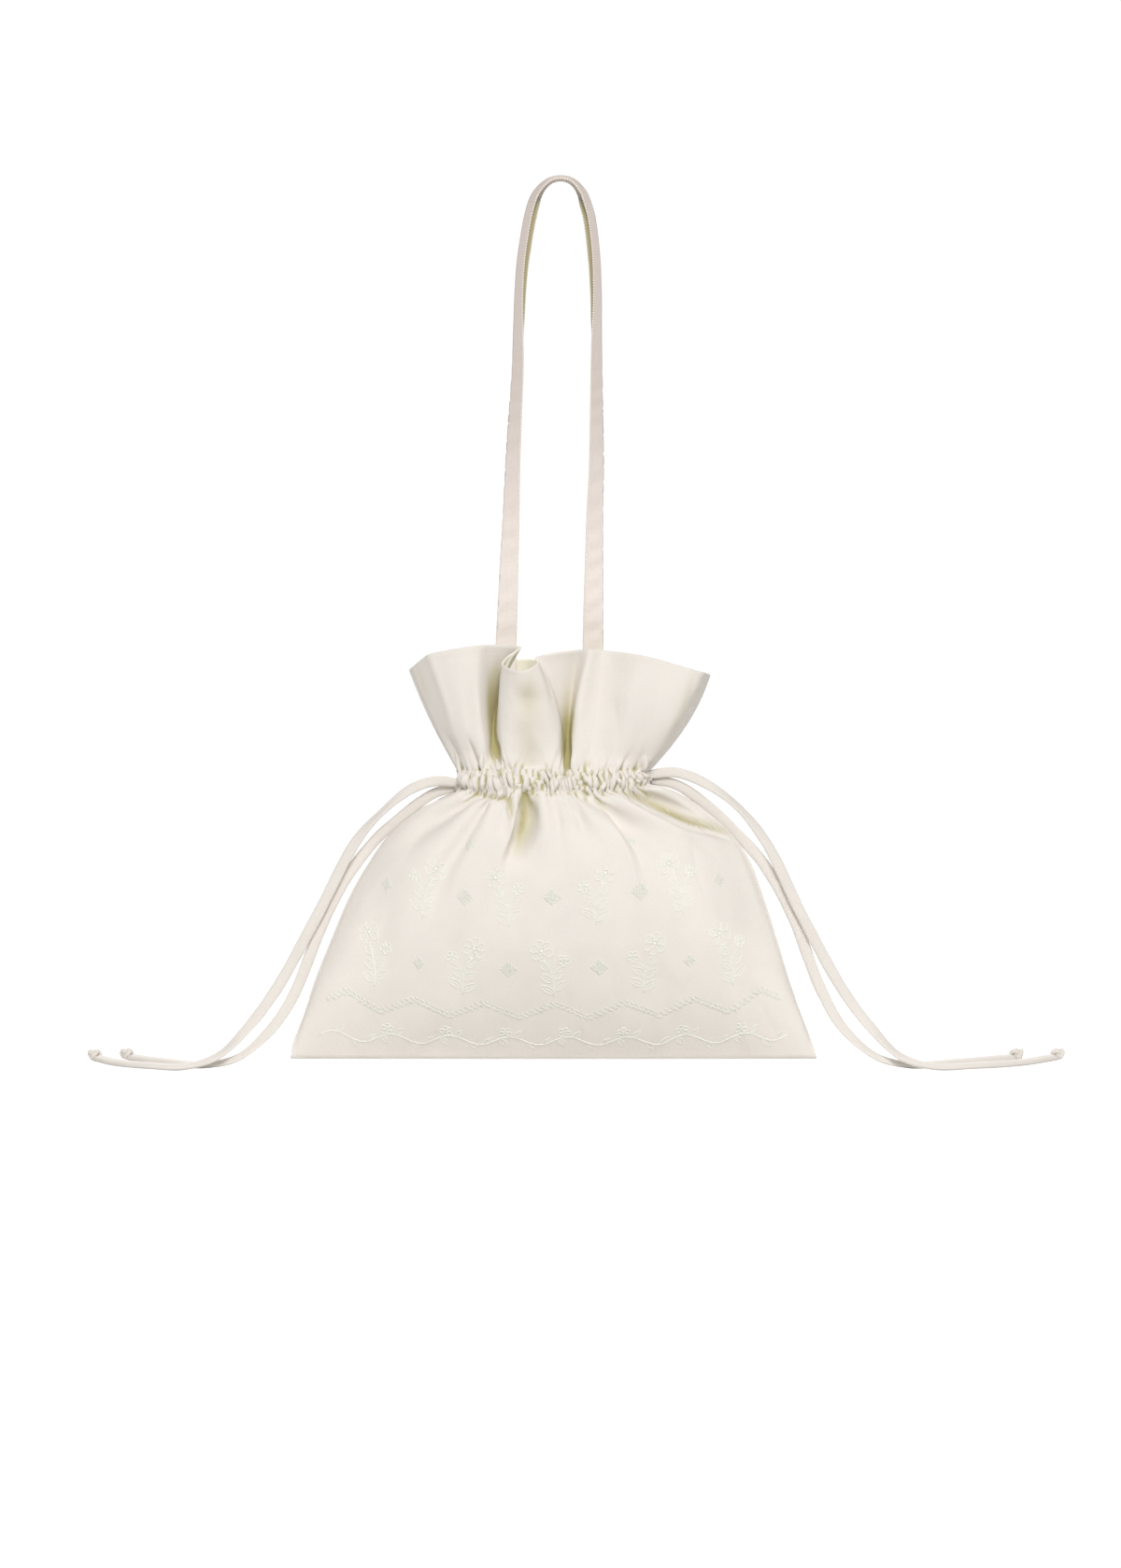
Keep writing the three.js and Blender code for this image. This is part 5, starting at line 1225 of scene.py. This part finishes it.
rng = np.random.RandomState(5)
tails = {}
for name, table in TAILS.items():
    table = np.array(table)
    pts_t, tan_t, share_t, run_t = route(table[:, :3], 240)
    sign = 1.0 if "left" in name else -1.0
    roll = np.radians(sign * curve_through(np.linspace(0, 1, len(table)), table[:, 3])(share_t))
    wide = unit(np.cross(tan_t, np.array([0.0, 1.0, 0.0])))
    wide = turned(wide, tan_t, roll)
    thin = unit(np.cross(tan_t, wide))
    ang = 2 * np.pi * (np.arange(24) + 0.5) / 24
    wob = 1 + 0.035 * np.sin(run_t / 7.3 + rng.uniform(0, 6)) * np.sin(run_t / 19.0 + rng.uniform(0, 6))
    pinch = 1 - 0.22 * np.exp(-run_t / 22.0)
    plump = 1 + 0.5 * smooth(-744, -758, pts_t[:, 2])
    cw = np.sign(np.cos(ang)) * np.abs(np.cos(ang)) ** 0.85
    cs = np.sign(np.sin(ang)) * np.abs(np.sin(ang)) ** 0.85
    crease = 1 - 0.16 * np.exp(-((np.cos(ang)) / 0.16) ** 2) * (np.sin(ang) > 0)
    ring = (pts_t[:, None] + wide[:, None] * (cw[None, :, None] * (CORD_WIDTH / 2) * (wob * pinch)[:, None, None])
            + thin[:, None] * ((cs * crease)[None, :, None] * (CORD_THICK / 2) * ((2 - wob) * plump)[:, None, None]))
    obj = part_piece(tube_object(name + "_cord", ring, CORD, run_t), [name])
    heading = tan_t[-1] * [1, 1, 0]
    heading = heading / np.linalg.norm(heading)
    path = knot_rings(pts_t[-1], heading, 1.35)
    kt = unit(np.gradient(path, axis=0))
    side_v = unit(np.cross(kt, np.array([0.3, 0.2, 1.0])))
    up_v = np.cross(kt, side_v)
    a12 = 2 * np.pi * np.arange(12) / 12
    krings = path[:, None] + 2.3 * (side_v[:, None] * np.cos(a12)[None, :, None] + up_v[:, None] * np.sin(a12)[None, :, None])
    knot_name = name.replace("_tail_", "_knot_")
    knot = part_piece(tube_object(knot_name + "_loop", krings, CORD, np.arange(len(path)) * 0.3), [knot_name])
    length = run_t[-1]
    tails[name] = round(float(length), 1)
print("tail lengths", tails)

# ---------------------------------------------------------------- hidden channel pieces
for node in ("drawstring_left_channel", "drawstring_right_channel"):
    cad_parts[node].data.materials.clear()
    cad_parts[node].data.materials.append(CORD)

# ---------------------------------------------------------------- floor, light, camera
FLOOR_Z = -0.7632
floor_mat = bpy.data.materials.new("floor_white")
floor_mat.use_nodes = True
fn, fl = floor_mat.node_tree.nodes, floor_mat.node_tree.links
fn.clear()
f_out, f_mix, f_add = fn.new("ShaderNodeOutputMaterial"), fn.new("ShaderNodeMixShader"), fn.new("ShaderNodeAddShader")
f_dim, f_pale, f_glow = fn.new("ShaderNodeBsdfDiffuse"), fn.new("ShaderNodeBsdfDiffuse"), fn.new("ShaderNodeEmission")
f_path = fn.new("ShaderNodeLightPath")
f_dim.inputs["Color"].default_value = (0.86, 0.86, 0.86, 1)
f_pale.inputs["Color"].default_value = (0.30, 0.30, 0.30, 1)
f_glow.inputs["Strength"].default_value = 1.0
fl.new(f_pale.outputs[0], f_add.inputs[0])
fl.new(f_glow.outputs[0], f_add.inputs[1])
fl.new(f_path.outputs["Is Camera Ray"], f_mix.inputs["Fac"])
fl.new(f_dim.outputs[0], f_mix.inputs[1])
fl.new(f_add.outputs[0], f_mix.inputs[2])
fl.new(f_mix.outputs[0], f_out.inputs["Surface"])
mesh = bpy.data.meshes.new("floor")
mesh.from_pydata([(-1.1, -0.9, FLOOR_Z), (1.1, -0.9, FLOOR_Z), (1.1, 0.9, FLOOR_Z), (-1.1, 0.9, FLOOR_Z)], [], [(0, 1, 2, 3)])
mesh.materials.append(floor_mat)
floor = bpy.data.objects.new("floor", mesh)
bpy.context.scene.collection.objects.link(floor)

scene = bpy.context.scene
scene.view_settings.view_transform = "Standard"
world = bpy.data.worlds.new("studio")
scene.world = world
world.use_nodes = True
wn, wl = world.node_tree.nodes, world.node_tree.links
wn.clear()
w_out = wn.new("ShaderNodeOutputWorld")
w_mix = wn.new("ShaderNodeMixShader")
w_seen, w_light = wn.new("ShaderNodeBackground"), wn.new("ShaderNodeBackground")
w_path = wn.new("ShaderNodeLightPath")
w_seen.inputs["Color"].default_value = (1, 1, 1, 1)
w_seen.inputs["Strength"].default_value = 1.05
w_light.inputs["Color"].default_value = (1.0, 0.99, 0.95, 1)
w_light.inputs["Strength"].default_value = 0.36
wl.new(w_path.outputs["Is Camera Ray"], w_mix.inputs["Fac"])
wl.new(w_light.outputs[0], w_mix.inputs[1])
wl.new(w_seen.outputs[0], w_mix.inputs[2])
wl.new(w_mix.outputs[0], w_out.inputs["Surface"])


def area_light(name, place, target, size, power, colour):
    data = bpy.data.lights.new(name, "AREA")
    data.shape, data.size, data.energy, data.color = "SQUARE", size, power, colour
    obj = bpy.data.objects.new(name, data)
    obj.location = place
    obj.rotation_euler = (Vector(target) - Vector(place)).to_track_quat("-Z", "Y").to_euler()
    bpy.context.scene.collection.objects.link(obj)
    return obj


area_light("key", (0.35, -4.75, 3.1), (0, 0, -0.5), 2.0, 257.0, (1.0, 0.995, 1.0))
area_light("back_fill", (-0.35, 4.75, 3.1), (0, 0, -0.5), 2.0, 240.0, (1.0, 0.995, 1.0))

cam_data = bpy.data.cameras.new("camera")
cam = bpy.data.objects.new("camera", cam_data)
scene.collection.objects.link(cam)
CAM_AWAY = 2.7
cam.location = (0.0, -CAM_AWAY, -0.5192)
cam.rotation_euler = (math.pi / 2, 0, 0)
cam_data.sensor_width = 36.0
cam_data.lens = 36.0 * CAM_AWAY / 1.3424
cam_data.clip_end = 50
scene.camera = cam
